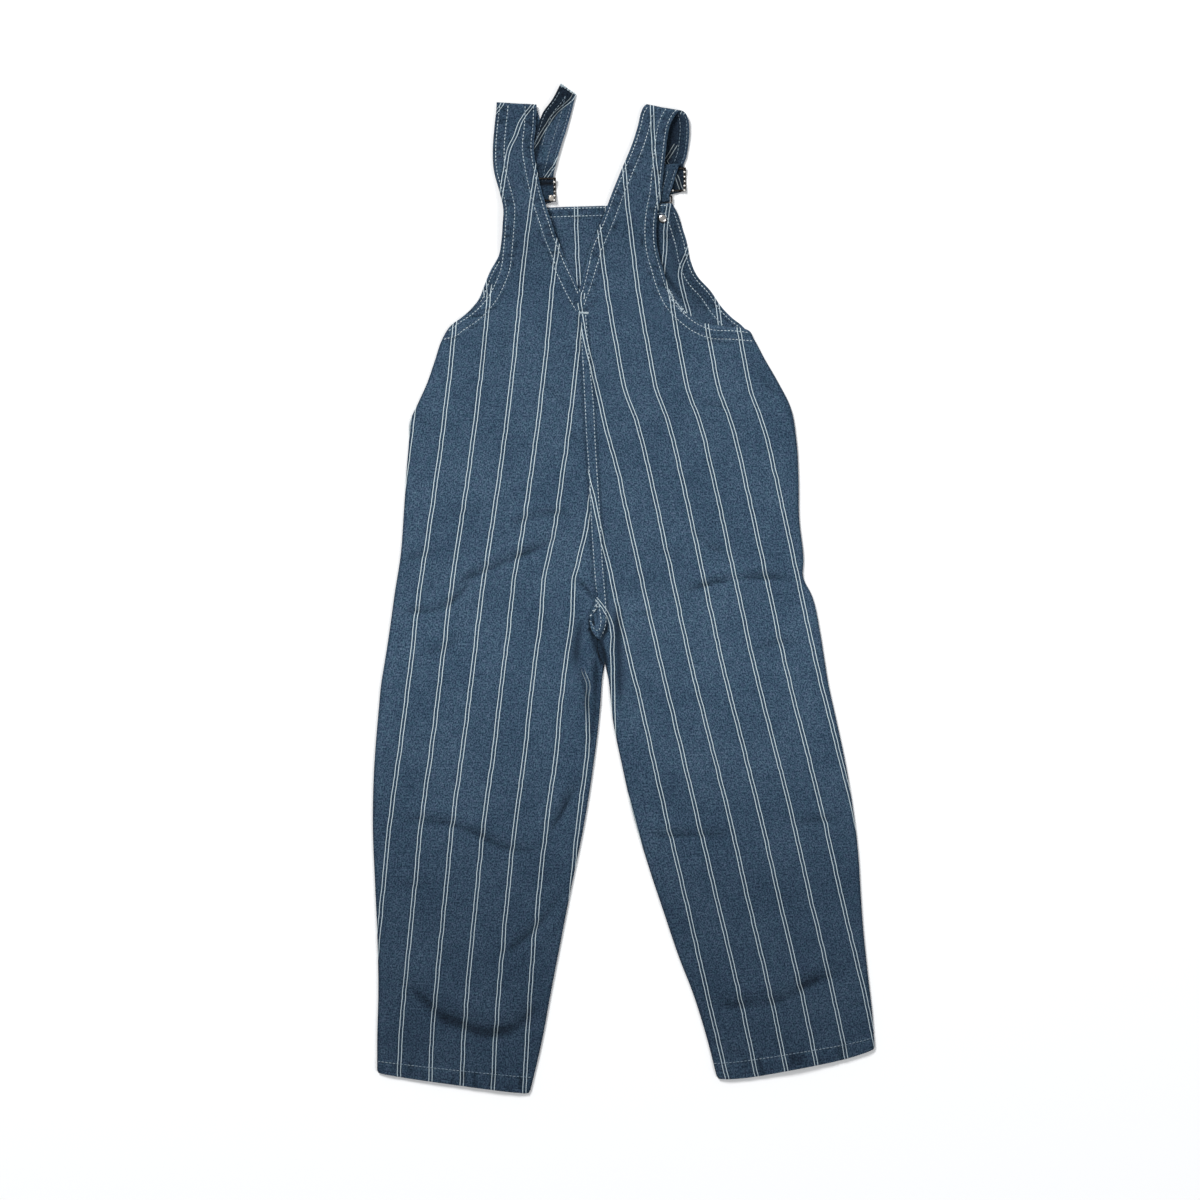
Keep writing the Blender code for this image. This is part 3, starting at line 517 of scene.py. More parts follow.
class Board:
    """A short way to add and join the nodes of one tree."""

    def __init__(self, tree: NodeTree) -> None:
        """Keep the tree."""
        self.tree = tree

    def join(self, node: Node, inputs: dict) -> Node:
        """Set a node's inputs to values, or link them to the sockets that feed them."""
        for name, value in inputs.items():
            if isinstance(value, NodeSocket):
                self.tree.links.new(value, node.inputs[name])
            else:
                node.inputs[name].default_value = value
        return node

    def add(self, kind: str, inputs: dict | None = None, **settings: object) -> Node:
        """Add a node.

        Args:
            kind: the node's type, without the ShaderNode in front of its name.
            inputs: for each input's name or number, a value or the socket that feeds it.
            settings: the node's own settings.

        Returns:
            The node.
        """
        node = self.tree.nodes.new("ShaderNode" + kind)
        for name, value in settings.items():
            setattr(node, name, value)
        return self.join(node, inputs or {})

    def place(self, group: NodeTree, inputs: dict) -> Node:
        """Place a node group and return its node."""
        node = self.tree.nodes.new("ShaderNodeGroup")
        node.node_tree = group
        return self.join(node, inputs)

    def attribute(self, name: str) -> NodeSocket:
        """Read a named value of the mesh and return the output."""
        return self.add("Attribute", attribute_name=name).outputs["Fac"]

    def calc(self, operation: str, *values: object) -> NodeSocket:
        """Add a Math node and return its output."""
        return self.add("Math", dict(enumerate(values)), operation=operation).outputs[0]

    def product(self, *values: object) -> NodeSocket:
        """Multiply values one after the other and return the output."""
        result = values[0]
        for value in values[1:]:
            result = self.calc("MULTIPLY", result, value)
        return result

    def ramp(
        self, value: object, low: float, high: float, to_low: float = 0.0, to_high: float = 1.0
    ) -> NodeSocket:
        """Turn a range of values smoothly into another and return the output."""
        ends = {"From Min": low, "From Max": high, "To Min": to_low, "To Max": to_high}
        inputs = {"Value": value, **ends}
        return self.add("MapRange", inputs, interpolation_type="SMOOTHSTEP").outputs["Result"]

    def blend(self, share: object, first: object, second: object, way: str = "MIX") -> NodeSocket:
        """Mix two colours and return the output."""
        node = self.add("Mix", data_type="RGBA", blend_type=way)
        return self.join(node, {0: share, 6: first, 7: second}).outputs[2]

    def tint(self, first: object, second: object) -> NodeSocket:
        """Multiply two colours and return the output."""
        return self.blend(1.0, first, second, "MULTIPLY")

    def colour(self, *channels: object) -> NodeSocket:
        """Make a colour of red, green and blue, or a grey of one value, and return the output."""
        channels = channels if len(channels) == 3 else channels * 3
        return self.add("CombineColor", dict(enumerate(channels))).outputs[0]

    def noise(
        self, place: object, scale: object, detail: float = 2.0, roughness: float = 0.5
    ) -> NodeSocket:
        """Add a noise and return its value, 0 to 1."""
        inputs = {"Vector": place, "Scale": scale, "Detail": detail, "Roughness": roughness}
        return self.add("TexNoise", inputs).outputs[0]

    def bump(self, height: object, strength: float, distance: float) -> Node:
        """Add a node that bends the light by a height, and return it."""
        return self.add("Bump", {"Height": height, "Strength": strength, "Distance": distance})


def new_group(
    name: str, inputs: dict[str, tuple[str, float]], outputs: dict[str, str]
) -> tuple[Board, Node, Node]:
    """Start a shader node group.

    Args:
        name: the group's name.
        inputs: each input's kind (Vector or Float) and its first value.
        outputs: each output's kind.

    Returns:
        The group's board, its input node and its output node.
    """
    tree = bpy.data.node_groups.new(name, "ShaderNodeTree")
    for label, (kind, value) in inputs.items():
        socket = tree.interface.new_socket(label, in_out="INPUT", socket_type="NodeSocket" + kind)
        if kind == "Float":
            socket.default_value = value
    for label, kind in outputs.items():
        tree.interface.new_socket(label, in_out="OUTPUT", socket_type="NodeSocket" + kind)
    return Board(tree), tree.nodes.new("NodeGroupInput"), tree.nodes.new("NodeGroupOutput")


def stretched_noise(
    board: Board, uv: Node, across: float, along: float, detail: float = 2.0
) -> NodeSocket:
    """Add a noise with its own number of spots in each metre across and along the grain.

    Args:
        board: the tree.
        uv: the node that gives the place on the cloth as X and Y.
        across, along: spots in each metre.
        detail: the noise's detail.

    Returns:
        The noise's value.
    """
    place = board.add("CombineXYZ", {
        0: board.product(uv.outputs[0], across),
        1: board.product(uv.outputs[1], along),
    })
    return board.noise(place.outputs[0], 1.0, detail, 0.6)


def twill_group() -> NodeTree:
    """Build the weave: yarns with a diagonal of floats, and streaky dye along the warp.

    Returns:
        The group, with the outputs Height, Dye (around 1) and Fibre (around 1).
    """
    board, start, end = new_group(
        "Denim twill",
        {"UV": ("Vector", 0), "Yarn": ("Float", 0.00048)},
        {"Height": "Float", "Dye": "Float", "Fibre": "Float"},
    )
    uv = board.add("SeparateXYZ", {0: start.outputs["UV"]})
    warp = board.calc("DIVIDE", uv.outputs[0], start.outputs["Yarn"])
    weft = board.calc("DIVIDE", uv.outputs[1], start.outputs["Yarn"])
    ridge = board.calc("ABSOLUTE", board.calc("SINE", board.product(warp, math.pi)))
    slant = board.calc("SINE", board.product(board.calc("ADD", warp, weft), 2 * math.pi / 3))
    height = board.calc("MULTIPLY_ADD", slant, 0.3, board.product(ridge, 0.6))
    down = stretched_noise(board, uv, 560, 150)
    across = stretched_noise(board, uv, 170, 640)
    specks = stretched_noise(board, uv, 820, 640, 1.0)
    fibre = stretched_noise(board, uv, 3200, 1300)
    dye = board.product(
        board.ramp(down, 0.3, 0.7, 0.88, 1.13),
        board.ramp(across, 0.3, 0.7, 0.90, 1.11),
        board.ramp(specks, 0.34, 0.66, 0.44, 1.62),
    )
    fibre = board.ramp(fibre, 0.25, 0.75, 0.78, 1.25)
    board.join(end, {"Height": height, "Dye": dye, "Fibre": fibre})
    return board.tree


def stripe_group() -> NodeTree:
    """Build the woven stripes: pairs of pale lines with darker cloth between them.

    Returns:
        The group, with the outputs Lines and Between, both 0 to 1.
    """
    board, start, end = new_group(
        "Stripe pairs",
        {
            "UV": ("Vector", 0),
            "Repeat": ("Float", REPEAT * MM),
            "Line": ("Float", 0.00060),
            "Apart": ("Float", 0.00292),
        },
        {"Lines": "Float", "Between": "Float"},
    )
    uv = board.add("SeparateXYZ", {0: start.outputs["UV"]})
    wander = stretched_noise(board, uv, 30, 60, 3.0)
    across = board.calc("MULTIPLY_ADD", board.calc("SUBTRACT", wander, 0.5), 0.0018, uv.outputs[0])
    repeats = board.calc("DIVIDE", across, start.outputs["Repeat"])
    turns = board.calc("FRACT", board.calc("ADD", repeats, 100.5))
    off_middle = board.calc("ABSOLUTE", board.calc("SUBTRACT", turns, 0.5))
    away = board.product(off_middle, start.outputs["Repeat"])
    half = board.product(start.outputs["Apart"], 0.5)
    from_line = board.calc("ABSOLUTE", board.calc("SUBTRACT", away, half))
    edge = board.calc("DIVIDE", from_line, start.outputs["Line"])
    frayed = board.calc("SUBTRACT", board.noise(start.outputs["UV"], 1600.0), 0.5)
    edge = board.calc("ADD", edge, board.product(frayed, 0.35))
    board.join(end, {
        "Lines": board.ramp(edge, 0.38, 0.66, 1.0, 0.0),
        "Between": board.ramp(board.calc("DIVIDE", away, half), 1.95, 2.5, 1.0, 0.0),
    })
    return board.tree


def wash_group() -> NodeTree:
    """Build the uneven wash: soft light and dark patches, and slubs across the cloth.

    Returns:
        The group, with the outputs Patches (around 1), Hue (0 to 1) and Slubs (around 1).
    """
    board, start, end = new_group(
        "Wash",
        {"Position": ("Vector", 0), "UV": ("Vector", 0)},
        {"Patches": "Float", "Hue": "Float", "Slubs": "Float"},
    )
    broad = board.noise(start.outputs["Position"], 17.0, 5.0, 0.62)
    hue = board.noise(start.outputs["Position"], 260.0, 4.0, 0.7)
    uv = board.add("SeparateXYZ", {0: start.outputs["UV"]})
    slub = stretched_noise(board, uv, 240, 70, 4.0)
    board.join(end, {
        "Patches": board.ramp(broad, 0.3, 0.7, 0.86, 1.13),
        "Hue": board.ramp(hue, 0.3, 0.7),
        "Slubs": board.ramp(slub, 0.3, 0.7, 0.9, 1.11),
    })
    return board.tree


def hem_group() -> NodeTree:
    """Build the wear of hems: a faded fold, and puckers that the stitches pull in.

    Returns:
        The group, with the outputs Fade (0 to 1) and Height.
    """
    board, start, end = new_group(
        "Hem wear",
        {"UV": ("Vector", 0), "Hem": ("Float", 99), "Depth": ("Float", 11.5)},
        {"Fade": "Float", "Height": "Float"},
    )
    share = board.calc("DIVIDE", start.outputs["Hem"], start.outputs["Depth"])
    fold = board.ramp(share, 0.0, 0.16, 1.0, 0.0)
    from_ridge = board.calc("ABSOLUTE", board.calc("SUBTRACT", share, 0.98))
    ridge = board.ramp(from_ridge, 0.0, 0.16, 1.0, 0.0)
    pucker = board.noise(start.outputs["UV"], 230.0)
    worn = board.calc("MAXIMUM", fold, board.product(ridge, 0.8))
    fade = board.product(worn, board.ramp(pucker, 0.38, 0.66))
    first = board.calc("ABSOLUTE", board.calc("SUBTRACT", share, 0.235))
    second = board.calc("ABSOLUTE", board.calc("SUBTRACT", share, 0.9))
    groove = board.calc("MINIMUM", board.ramp(first, 0.0, 0.08), board.ramp(second, 0.0, 0.08))
    inside = board.ramp(share, 1.0, 1.2, 1.0, 0.0)
    height = board.calc("ADD", groove, board.product(pucker, inside, 1.6))
    board.join(end, {"Fade": fade, "Height": height})
    return board.tree


def speckle_group() -> NodeTree:
    """Build the unevenness of cast or plated metal.

    Returns:
        The group, with the outputs Wear (0 to 1) and Grain (0 to 1).
    """
    board, start, end = new_group(
        "Metal speckle",
        {"Position": ("Vector", 0), "Size": ("Float", 0.004)},
        {"Wear": "Float", "Grain": "Float"},
    )
    scale = board.calc("DIVIDE", 1.0, start.outputs["Size"])
    wear = board.noise(start.outputs["Position"], scale, 4.0, 0.7)
    grain = board.noise(start.outputs["Position"], board.product(scale, 9.0))
    board.join(end, {"Wear": board.ramp(wear, 0.5, 0.68), "Grain": grain})
    return board.tree


class Groups:
    """The shader node groups, each built once."""

    def __init__(self) -> None:
        """Build every group."""
        self.twill = twill_group()
        self.stripes = stripe_group()
        self.wash = wash_group()
        self.hem = hem_group()
        self.speckle = speckle_group()


def new_material(name: str) -> tuple[Material, Board, Node]:
    """Start a material and return it, its board and its shader."""
    material = bpy.data.materials.new(name)
    material.use_nodes = True
    board = Board(material.node_tree)
    return material, board, material.node_tree.nodes["Principled BSDF"]


@dataclass(frozen=True)
class DenimFinish:
    """Washed denim with woven pairs of stripes.

    deep and light say how much more the red and how much less the blue follow the tone; the
    others are the shares by which the painted shade of the crease attribute, the cloth between
    two lines and worn hems change it.
    """

    name: str
    colour: Triple
    cooler: Triple
    stripe: Triple
    deep: float = 1.27
    light: float = 0.82
    painted_shade_tone: float = 0.6
    shaded: float = -0.45
    between: float = -0.2
    worn: float = 0.55
    relief: float = 0.00022
    pucker: float = 0.0006

    def material(self, groups: Groups) -> Material:
        """Build the material.

        Args:
            groups: the shared node groups.

        Returns:
            The material, which reads the cloth's UV map and its hem, crease (painted shade), fade
            (tone by height, painted shade) and plain attributes.
        """
        material, board, shader = new_material(self.name)
        uv = board.add("UVMap", uv_map="Grain").outputs[0]
        position = board.add("TexCoord").outputs["Object"]
        # crease carries the painted shade, and fade the tone by height, which is painted shade too
        hem, crease = board.attribute("hem"), board.attribute("crease")
        fade, plain = board.attribute("fade"), board.attribute("plain")
        twill = board.place(groups.twill, {"UV": uv})
        stripes = board.place(groups.stripes, {"UV": uv})
        wash = board.place(groups.wash, {"UV": uv, "Position": position})
        wear = board.place(groups.hem, {"UV": uv, "Hem": hem})
        base = board.blend(wash.outputs["Hue"], (*self.colour, 1), (*self.cooler, 1))
        tone = board.product(
            twill.outputs["Dye"],
            wash.outputs["Patches"],
            wash.outputs["Slubs"],
            twill.outputs["Fibre"],
            board.ramp(crease, 0.0, 1.0, 1.0, self.painted_shade_tone),
            board.calc("MULTIPLY_ADD", stripes.outputs["Between"], self.between, 1.0),
            board.calc("MULTIPLY_ADD", wear.outputs["Fade"], self.worn, 1.0),
        )
        red, blue = board.calc("POWER", tone, self.deep), board.calc("POWER", tone, self.light)
        dyed = board.tint(base, board.colour(red, tone, blue))
        pale = board.tint((*self.stripe, 1), board.colour(twill.outputs["Fibre"]))
        lines = board.product(stripes.outputs["Lines"], board.calc("SUBTRACT", 1.0, plain))
        # where the tone by height paints shade, the stripes are lifted back part of the way
        pale = board.tint(pale, board.colour(board.calc("POWER", fade, -0.4)))
        striped = board.blend(lines, dyed, pale)
        # Painted shade: the tone by height and the crease attribute darken the whole cloth, stripes
        # included.
        faded = board.colour(board.calc("POWER", fade, 1.04), fade, board.calc("POWER", fade, 0.93))
        shaded = board.calc("MULTIPLY_ADD", crease, self.shaded, 1.0)
        faded = board.tint(faded, board.colour(shaded))
        height = board.calc("MULTIPLY_ADD", lines, 0.35, twill.outputs["Height"])
        weave = board.bump(height, 0.35, self.relief)
        folds = board.bump(wear.outputs["Height"], 0.5, self.pucker)
        board.join(folds, {"Normal": weave.outputs[0]})
        board.join(shader, {
            "Base Color": board.tint(striped, faded),
            "Roughness": board.ramp(twill.outputs["Fibre"], 0.78, 1.25, 0.95, 0.8),
            "Normal": folds.outputs[0],
            "Sheen Weight": 0.06,
            "Sheen Roughness": 0.5,
            "Specular IOR Level": 0.12,
        })
        return material


@dataclass(frozen=True)
class ThreadFinish:
    """Spun sewing thread, slightly greyed by the wash."""

    name: str
    colour: Triple
    greyed: Triple

    def material(self) -> Material:
        """Build and return the material."""
        material, board, shader = new_material(self.name)
        position = board.add("TexCoord").outputs["Object"]
        soft = board.noise(position, 90.0)
        fine = board.noise(position, 2600.0)
        share = board.ramp(soft, 0.35, 0.65)
        board.join(shader, {
            "Base Color": board.blend(share, (*self.colour, 1), (*self.greyed, 1)),
            "Roughness": board.ramp(fine, 0.3, 0.7, 0.7, 0.9),
            "Normal": board.bump(fine, 0.5, 0.0001).outputs[0],
        })
        return material


@dataclass(frozen=True)
class MetalFinish:
    """Plated metal that is brighter where it has worn, and where a mesh paints a highlight through
    an attribute.
    """

    name: str
    colour: Triple
    worn: Triple
    roughness: float
    wear: float = 0.6
    metallic: float = 1.0

    def material(self, groups: Groups) -> Material:
        """Build and return the material."""
        material, board, shader = new_material(self.name)
        position = board.add("TexCoord").outputs["Object"]
        speckle = board.place(groups.speckle, {"Position": position})
        spots = board.product(speckle.outputs["Wear"], self.wear)
        # random worn spots, and the painted highlight that a mesh carries as an attribute
        worn = board.calc("MAXIMUM", spots, board.attribute("painted_highlight"))
        grain = speckle.outputs["Grain"]
        board.join(shader, {
            "Base Color": board.blend(worn, (*self.colour, 1), (*self.worn, 1)),
            "Roughness": board.calc("MULTIPLY_ADD", grain, 0.2, self.roughness - 0.1),
            "Normal": board.bump(grain, 0.25, 0.0001).outputs[0],
            "Metallic": self.metallic,
        })
        return material


@dataclass(frozen=True)
class FloorFinish:
    """A smooth, nearly white paper floor."""

    colour: Triple = (0.95, 0.95, 0.95)

    def material(self) -> Material:
        """Build and return the material."""
        material, board, shader = new_material("floor paper")
        tooth = board.noise(board.add("TexCoord").outputs["Object"], 900.0)
        board.join(shader, {
            "Normal": board.bump(tooth, 0.05, 0.0001).outputs[0],
            "Base Color": (*self.colour, 1),
            "Roughness": 0.9,
        })
        return material


class Finishes:
    """Every material, made once."""

    def __init__(self) -> None:
        """Build the materials from their finishes."""
        groups = Groups()
        self.denim = DenimFinish(
            "denim", (0.0335, 0.0725, 0.1125), (0.0388, 0.0672, 0.1150), stripe=(0.60, 0.70, 0.72)
        ).material(groups)
        self.inside = DenimFinish(
            "denim inside", (0.0325, 0.069, 0.107), (0.037, 0.064, 0.109), stripe=(0.56, 0.66, 0.70)
        ).material(groups)
        # A darker copy of the sewing thread, with shade painted in, for the stitches of the shaded
        # strap ends and of the leg hems.
        self.shaded_thread = ThreadFinish(
            "shaded thread", (0.25, 0.31, 0.35), greyed=(0.14, 0.20, 0.26)
        ).material()
        self.thread = ThreadFinish(
            "sewing thread", (0.56, 0.65, 0.68), greyed=(0.32, 0.40, 0.45)
        ).material()
        self.gunmetal = MetalFinish(
            "gunmetal", (0.035, 0.03, 0.026), (0.42, 0.38, 0.34), roughness=0.35, wear=0.2
        ).material(groups)
        self.steel = MetalFinish(
            "steel", (0.62, 0.60, 0.57), (0.80, 0.78, 0.75), roughness=0.28
        ).material(groups)
        # Pale metal for the slides' beads: their highlight attribute paints the glints, with random
        # worn spots besides.
        self.worn = MetalFinish(
            "bead metal with painted highlights", (0.40, 0.36, 0.31), (0.80, 0.77, 0.72),
            roughness=0.3, wear=0.5, metallic=0.3,
        ).material(groups)
        self.floor = FloorFinish().material()


# ---------------- cloth sheets


HEM_BAND = 11.4       # width of the doubled cloth along a topstitched edge
EDGE_STITCH = 2.7     # from such an edge to its first stitch line
INNER_STITCH = 10.3   # and to its second one
LEG_HEM = 12.5        # depth of the leg hems
BIB_HEM_DEPTH = 8.8   # depth of the hem at the bib's top
HEM_CORNER = 2.6      # radius of the leg hems' corners
HEM_STRETCH = 0.35    # share of a hem's depth that its dips count, which draws them out across it
FULL_HEM = 36.0       # width from which a strap's hems stand up in full
NO_HEM = 99.0         # a distance that shows no wear of a hem
CRISP_SHARE = 0.16    # where the second row is in the first step, to keep the hem's edge
CROTCH_FROM = -56.0   # the part with the crotch's small creases, and its rows' spacing
CROTCH_TO = 4.0
CROTCH_SPACING = 1.2
SEAM_FROM = -48.0     # the lapped part of the centre seam
SEAM_TO = 264.0
FLAP_X = -15.2        # right side of the rounded flap at the seam's lower end
HIP_FROM = 96.0       # the height of the right hip's turned edge
HIP_TO = 232.0
FINE_FROM = 150.0     # height from which the backs' rows are closer
TURNED_ROWS = (2, 26)  # the rows beyond the right strap's fold whose stitches show
SHADE_EDGE = 1.5      # width over which a strap's shade starts and ends


@dataclass
class ClothSheet:
    """A thin cloth piece on rows between two edges.

    stripes has the (y, x) line of some of its pairs of stripes by their number; strap_moves is
    how far across they move, by the distance along the strap beyond its fold.
    """

    name: str
    node: str
    sections: list[Section]
    stripes: dict[int, list[Point]]
    rest: float
    columns: int = 90
    spacing: float = 2.9
    fine_spacing: float = 1.6
    fine_from: float = math.inf
    fold_section: int | None = None
    strap_moves: tuple[Point, ...] = ((0.0, 0.0),)
    creases: list[Crease] = field(default_factory=list)
    details: list[Crease] = field(default_factory=list)
    pull_way: float = 1.0
    corner: float = 0.0
    tones: list[Point] = field(default_factory=lambda: TONES)
    seed: float = 0.0
    grid: Array = field(init=False)
    rows: Array = field(init=False)
    hem: Array = field(init=False)
    # painted shade, written to the mesh as its crease attribute
    dark: Array = field(init=False)
    plain: Array = field(init=False)
    drawn: Array = field(init=False)
    fold_row: int = field(init=False, default=10**6)

    def lay_rows(self) -> None:
        """Draw the rows through the sections, finer on the upper body and the strap."""
        knots = [section.row(self.rest) for section in self.sections]
        dense = smooth_curve(knots, 0.8, flat=(2, 5, 6))
        middle = (dense[:, 1] + dense[:, 4]) / 2
        reached = False
        last = dense[0]
        parts = [last]
        fold_knot = None if self.fold_section is None else np.array(knots[self.fold_section])
        for index, row in enumerate(dense[1:], start=1):
            step = (np.linalg.norm(row[0:3] - last[0:3]) + np.linalg.norm(row[3:6] - last[3:6])) / 2
            reached = reached or middle[index] > self.fine_from
            wanted = self.fine_spacing if reached else self.spacing
            if self.fine_from < math.inf and CROTCH_FROM < middle[index] < CROTCH_TO:
                wanted = CROTCH_SPACING
            at_end = index == len(dense) - 1
            at_fold = fold_knot is not None and np.allclose(row, fold_knot)
            if step >= wanted or at_end or at_fold:
                parts.append(row)
                last = row
            if at_fold:
                self.fold_row = len(parts) - 1
        first, second = parts[0], parts[1]
        parts.insert(1, first + (second - first) * CRISP_SHARE)
        self.fold_row += 1
        self.rows = np.array(parts)
        if self.corner > 0:
            short = np.maximum(0, self.corner - self.lengths())
            inset = self.corner - np.sqrt(self.corner**2 - short**2)
            inward = (self.rows[:, 3:5] - self.rows[:, 0:2]) / self.widths()[:, None]
            inward *= inset[:, None]
            self.rows[:, 0:2] += inward
            self.rows[:, 3:5] -= inward

    def shares(self) -> Array:
        """Return the columns' places, 0 to 1, with one close to each edge."""
        inner = np.linspace(0, 1, self.columns + 1)[1:-1]
        return np.concatenate([[0.0, 0.0035], inner, [0.9965, 1.0]])

    def lay_grid(self) -> None:
        """Place the middle of the wall, before any relief."""
        share = self.shares()[None, :]
        left, right = self.rows[:, None, 0:3], self.rows[:, None, 3:6]
        grid = left + (right - left) * share[..., None]
        grid[..., 1] -= self.rows[:, 7][:, None] * (1 - (2 * share - 1) ** 4)
        grid[..., 2] += self.rows[:, 6][:, None] * 4 * share * (1 - share)
        self.grid = grid
        self.hem = np.full(grid.shape[:2], NO_HEM)
        self.dark = np.zeros(grid.shape[:2])
        self.plain = np.zeros(grid.shape[:2])
        self.drawn = np.zeros(grid.shape[:2])

    def widths(self) -> Array:
        """Return each row's width."""
        return np.linalg.norm(self.rows[:, 3:6] - self.rows[:, 0:3], axis=1)

    def lengths(self) -> Array:
        """Return how far each row is along the sheet."""
        middle = (self.rows[:, 0:3] + self.rows[:, 3:6]) / 2
        return distances(middle)

    def paint_shade(self, shade: Array) -> None:
        """Paint shade on the cloth: let it be at least as dark as the given shade."""
        self.dark = np.maximum(self.dark, shade)

    def relieve(self) -> None:
        """Add the sheet's own relief; each kind of sheet says what it has."""
        self.add_creases(np.ones(self.grid.shape[:2]))

    def add_creases(self, where: Array) -> None:
        """Press the creases and faint waves in, where that mask is 1, and paint shade along the
        creases and the details.
        """
        x, y = self.grid[..., 0], self.grid[..., 1]
        total = np.zeros(x.shape)
        broken = np.clip(0.9 + 0.4 * ripple(x, y, 22.0, self.seed + 5), 0.5, 1.25)
        for crease in self.creases:
            rise, trough, drawn = crease.relief(x, y)
            total += rise * broken
            # painted shade along the crease's trough
            self.paint_shade(0.95 * np.minimum(1, trough * broken) ** 1.5 * where)
            self.drawn += drawn * where * self.pull_way
        for crease in self.details:
            rise, trough, drawn = crease.relief(x, y)
            self.grid[..., 2] += rise
            self.paint_shade(trough)
        broad = 0.7 * ripple(x + 0.5 * y, y, 58.0, self.seed)
        small = 0.26 * ripple(x - 0.6 * y, y, 19.0, self.seed + 7)
        self.grid[..., 2] += (total + (broad + small)) * where

    def grain(self) -> Array:
        """Return the place on the cut cloth, across and along the grain, of each point."""
        x = self.grid[..., 0] - self.drawn
        numbers = sorted(self.stripes)
        lines = []
        for number in numbers:
            track = smooth_curve([(x_, y_) for y_, x_ in self.stripes[number]], 3.0)
            order = np.argsort(track[:, 1])
            lines.append(np.interp(self.grid[..., 1], track[order, 1], track[order, 0]))
        across = numbers[0] * REPEAT + x - lines[0]
        for first, last, low, high in zip(numbers, numbers[1:], lines, lines[1:]):
            plain = np.minimum(PLAIN, 0.45 * (high - low))
            room = np.maximum(high - low - 2 * plain, 0.5)
            drawn_in = ((last - first) * REPEAT - 2 * plain) / room
            between = first * REPEAT + plain + (x - low - plain) * drawn_in
            between = np.where(x - low < plain, first * REPEAT + x - low, between)
            between = np.where(high - x < plain, last * REPEAT - high + x, between)
            across = np.where(x > low, between, across)
        across = np.where(x > lines[-1], numbers[-1] * REPEAT + x - lines[-1], across)
        along = self.lengths()
        if self.fold_section is not None:
            start = self.fold_row
            share = self.shares()[None, :]
            turned = np.arange(len(self.rows)) > start
            at_fold = across[start, 0]
            moves = read_table(along - along[start], self.strap_moves)
            moved = at_fold + share * self.widths()[:, None] + moves[:, None]
            across = np.where(turned[:, None], moved, across)
        return np.stack([across, np.broadcast_to(along[:, None], across.shape)], axis=-1)

    def build(self, material: Material) -> Object:
        """Make the sheet's mesh.

        Args:
            material: the cloth.

        Returns:
            The finished object.
        """
        self.lay_rows()
        self.lay_grid()
        self.relieve()
        count, width = self.grid.shape[:2]
        numbers = np.arange(count * width).reshape(count, width)
        corners = [numbers[:-1, :-1], numbers[:-1, 1:], numbers[1:, 1:], numbers[1:, :-1]]
        faces = np.stack([corner.ravel() for corner in corners], axis=1)
        mesh = bpy.data.meshes.new(self.name)
        mesh.from_pydata((self.grid.reshape(-1, 3) * MM).tolist(), [], faces.tolist())
        uv = mesh.uv_layers.new(name="Grain")
        places = (self.grain().reshape(-1, 2) * MM)[faces.ravel()]
        uv.data.foreach_set("uv", places.ravel())
        # fade is the tone by height, painted shade darker towards the hems and the straps; crease
        # carries the painted shade
        fade = read_table(self.grid[..., 1], self.tones)
        marks = {"hem": self.hem, "crease": self.dark, "fade": fade, "plain": self.plain}
        for label, values in marks.items():
            mesh.attributes.new(label, "FLOAT", "POINT").data.foreach_set("value", values.ravel())
        mesh.materials.append(material)
        sheet = bpy.data.objects.new(self.name, mesh)
        bpy.context.scene.collection.objects.link(sheet)
        rim = sheet.vertex_groups.new(name="wall")
        rim.add(list(range(count * width)), 1.0, "REPLACE")
        edge = np.concatenate([numbers[:, 0], numbers[:, -1], numbers[0], numbers[-1]])
        rim.add(edge.tolist(), 0.5, "REPLACE")
        wall = sheet.modifiers.new("Wall", "SOLIDIFY")
        wall.thickness = WALL * MM
        wall.offset = 0.0
        wall.vertex_group = "wall"
        apply_modifiers(sheet)
        sheet.vertex_groups.clear()
        sheet.data.shade_smooth()
        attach(sheet, BODY)
        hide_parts(self.node)
        LOG.info("%s: %d faces", self.name, len(sheet.data.polygons))
        return sheet

    def edge_line(self, edge: Edge, distance: float, first: int, last: int) -> Array:
        """Return the (x, y) line that runs a distance inside a long edge, between two rows."""
        line = self.grid[first : last + 1, edge.value, :2]
        along = np.gradient(line, axis=0)
        along /= np.maximum(np.linalg.norm(along, axis=1), 1e-9)[:, None]
        inward = np.stack([along[:, 1], -along[:, 0]], axis=1) * (1 if edge is Edge.LEFT else -1)
        return line + inward * distance

    def row_at(self, y: float, edge: Edge) -> int:
        """Return the first row whose end on that edge reaches a height."""
        return int(np.argmax(self.grid[:, edge.value, 1] >= y))


@dataclass(frozen=True)
class HemRelief:
    """How the doubled cloth of a hem stands up; sizes are millimetres, and mark the strength of the
    shade painted into the dips between its puckers.

    early says how far inside the hem's end the cloth starts to come down, over slope; late
    how far beyond it the puckers start to die away, over fade.
    """

    band: float
    early: float
    slope: float
    mark: float
    mark_size: float
    mark_fade: float = 4.0
    pucker: float = 0.0
    pucker_size: float = 1.0
    late: float = 0.0
    fade: float = 4.0

    def rise(self, beyond: Array) -> Array:
        """Return the doubled cloth's height at places given as how far they are beyond it."""
        return self.band * (1 - smooth_step((beyond + self.early) / self.slope))

    def puckers(self, x: Array, y: Array, seed: float, beyond: Array) -> Array:
        """Return the puckers' height."""
        near = 1 - smooth_step((beyond - self.late) / self.fade)
        return ripple(x, y, self.pucker_size, seed) * self.pucker * near

    def marks(self, x: Array, y: Array, seed: float, beyond: Array) -> Array:
        """Return the shade painted into the dips between the puckers."""
        dips = np.maximum(0, ripple(x, y, self.mark_size, seed))
        return self.mark * (dips * (1 - smooth_step((beyond - 1) / self.mark_fade)))


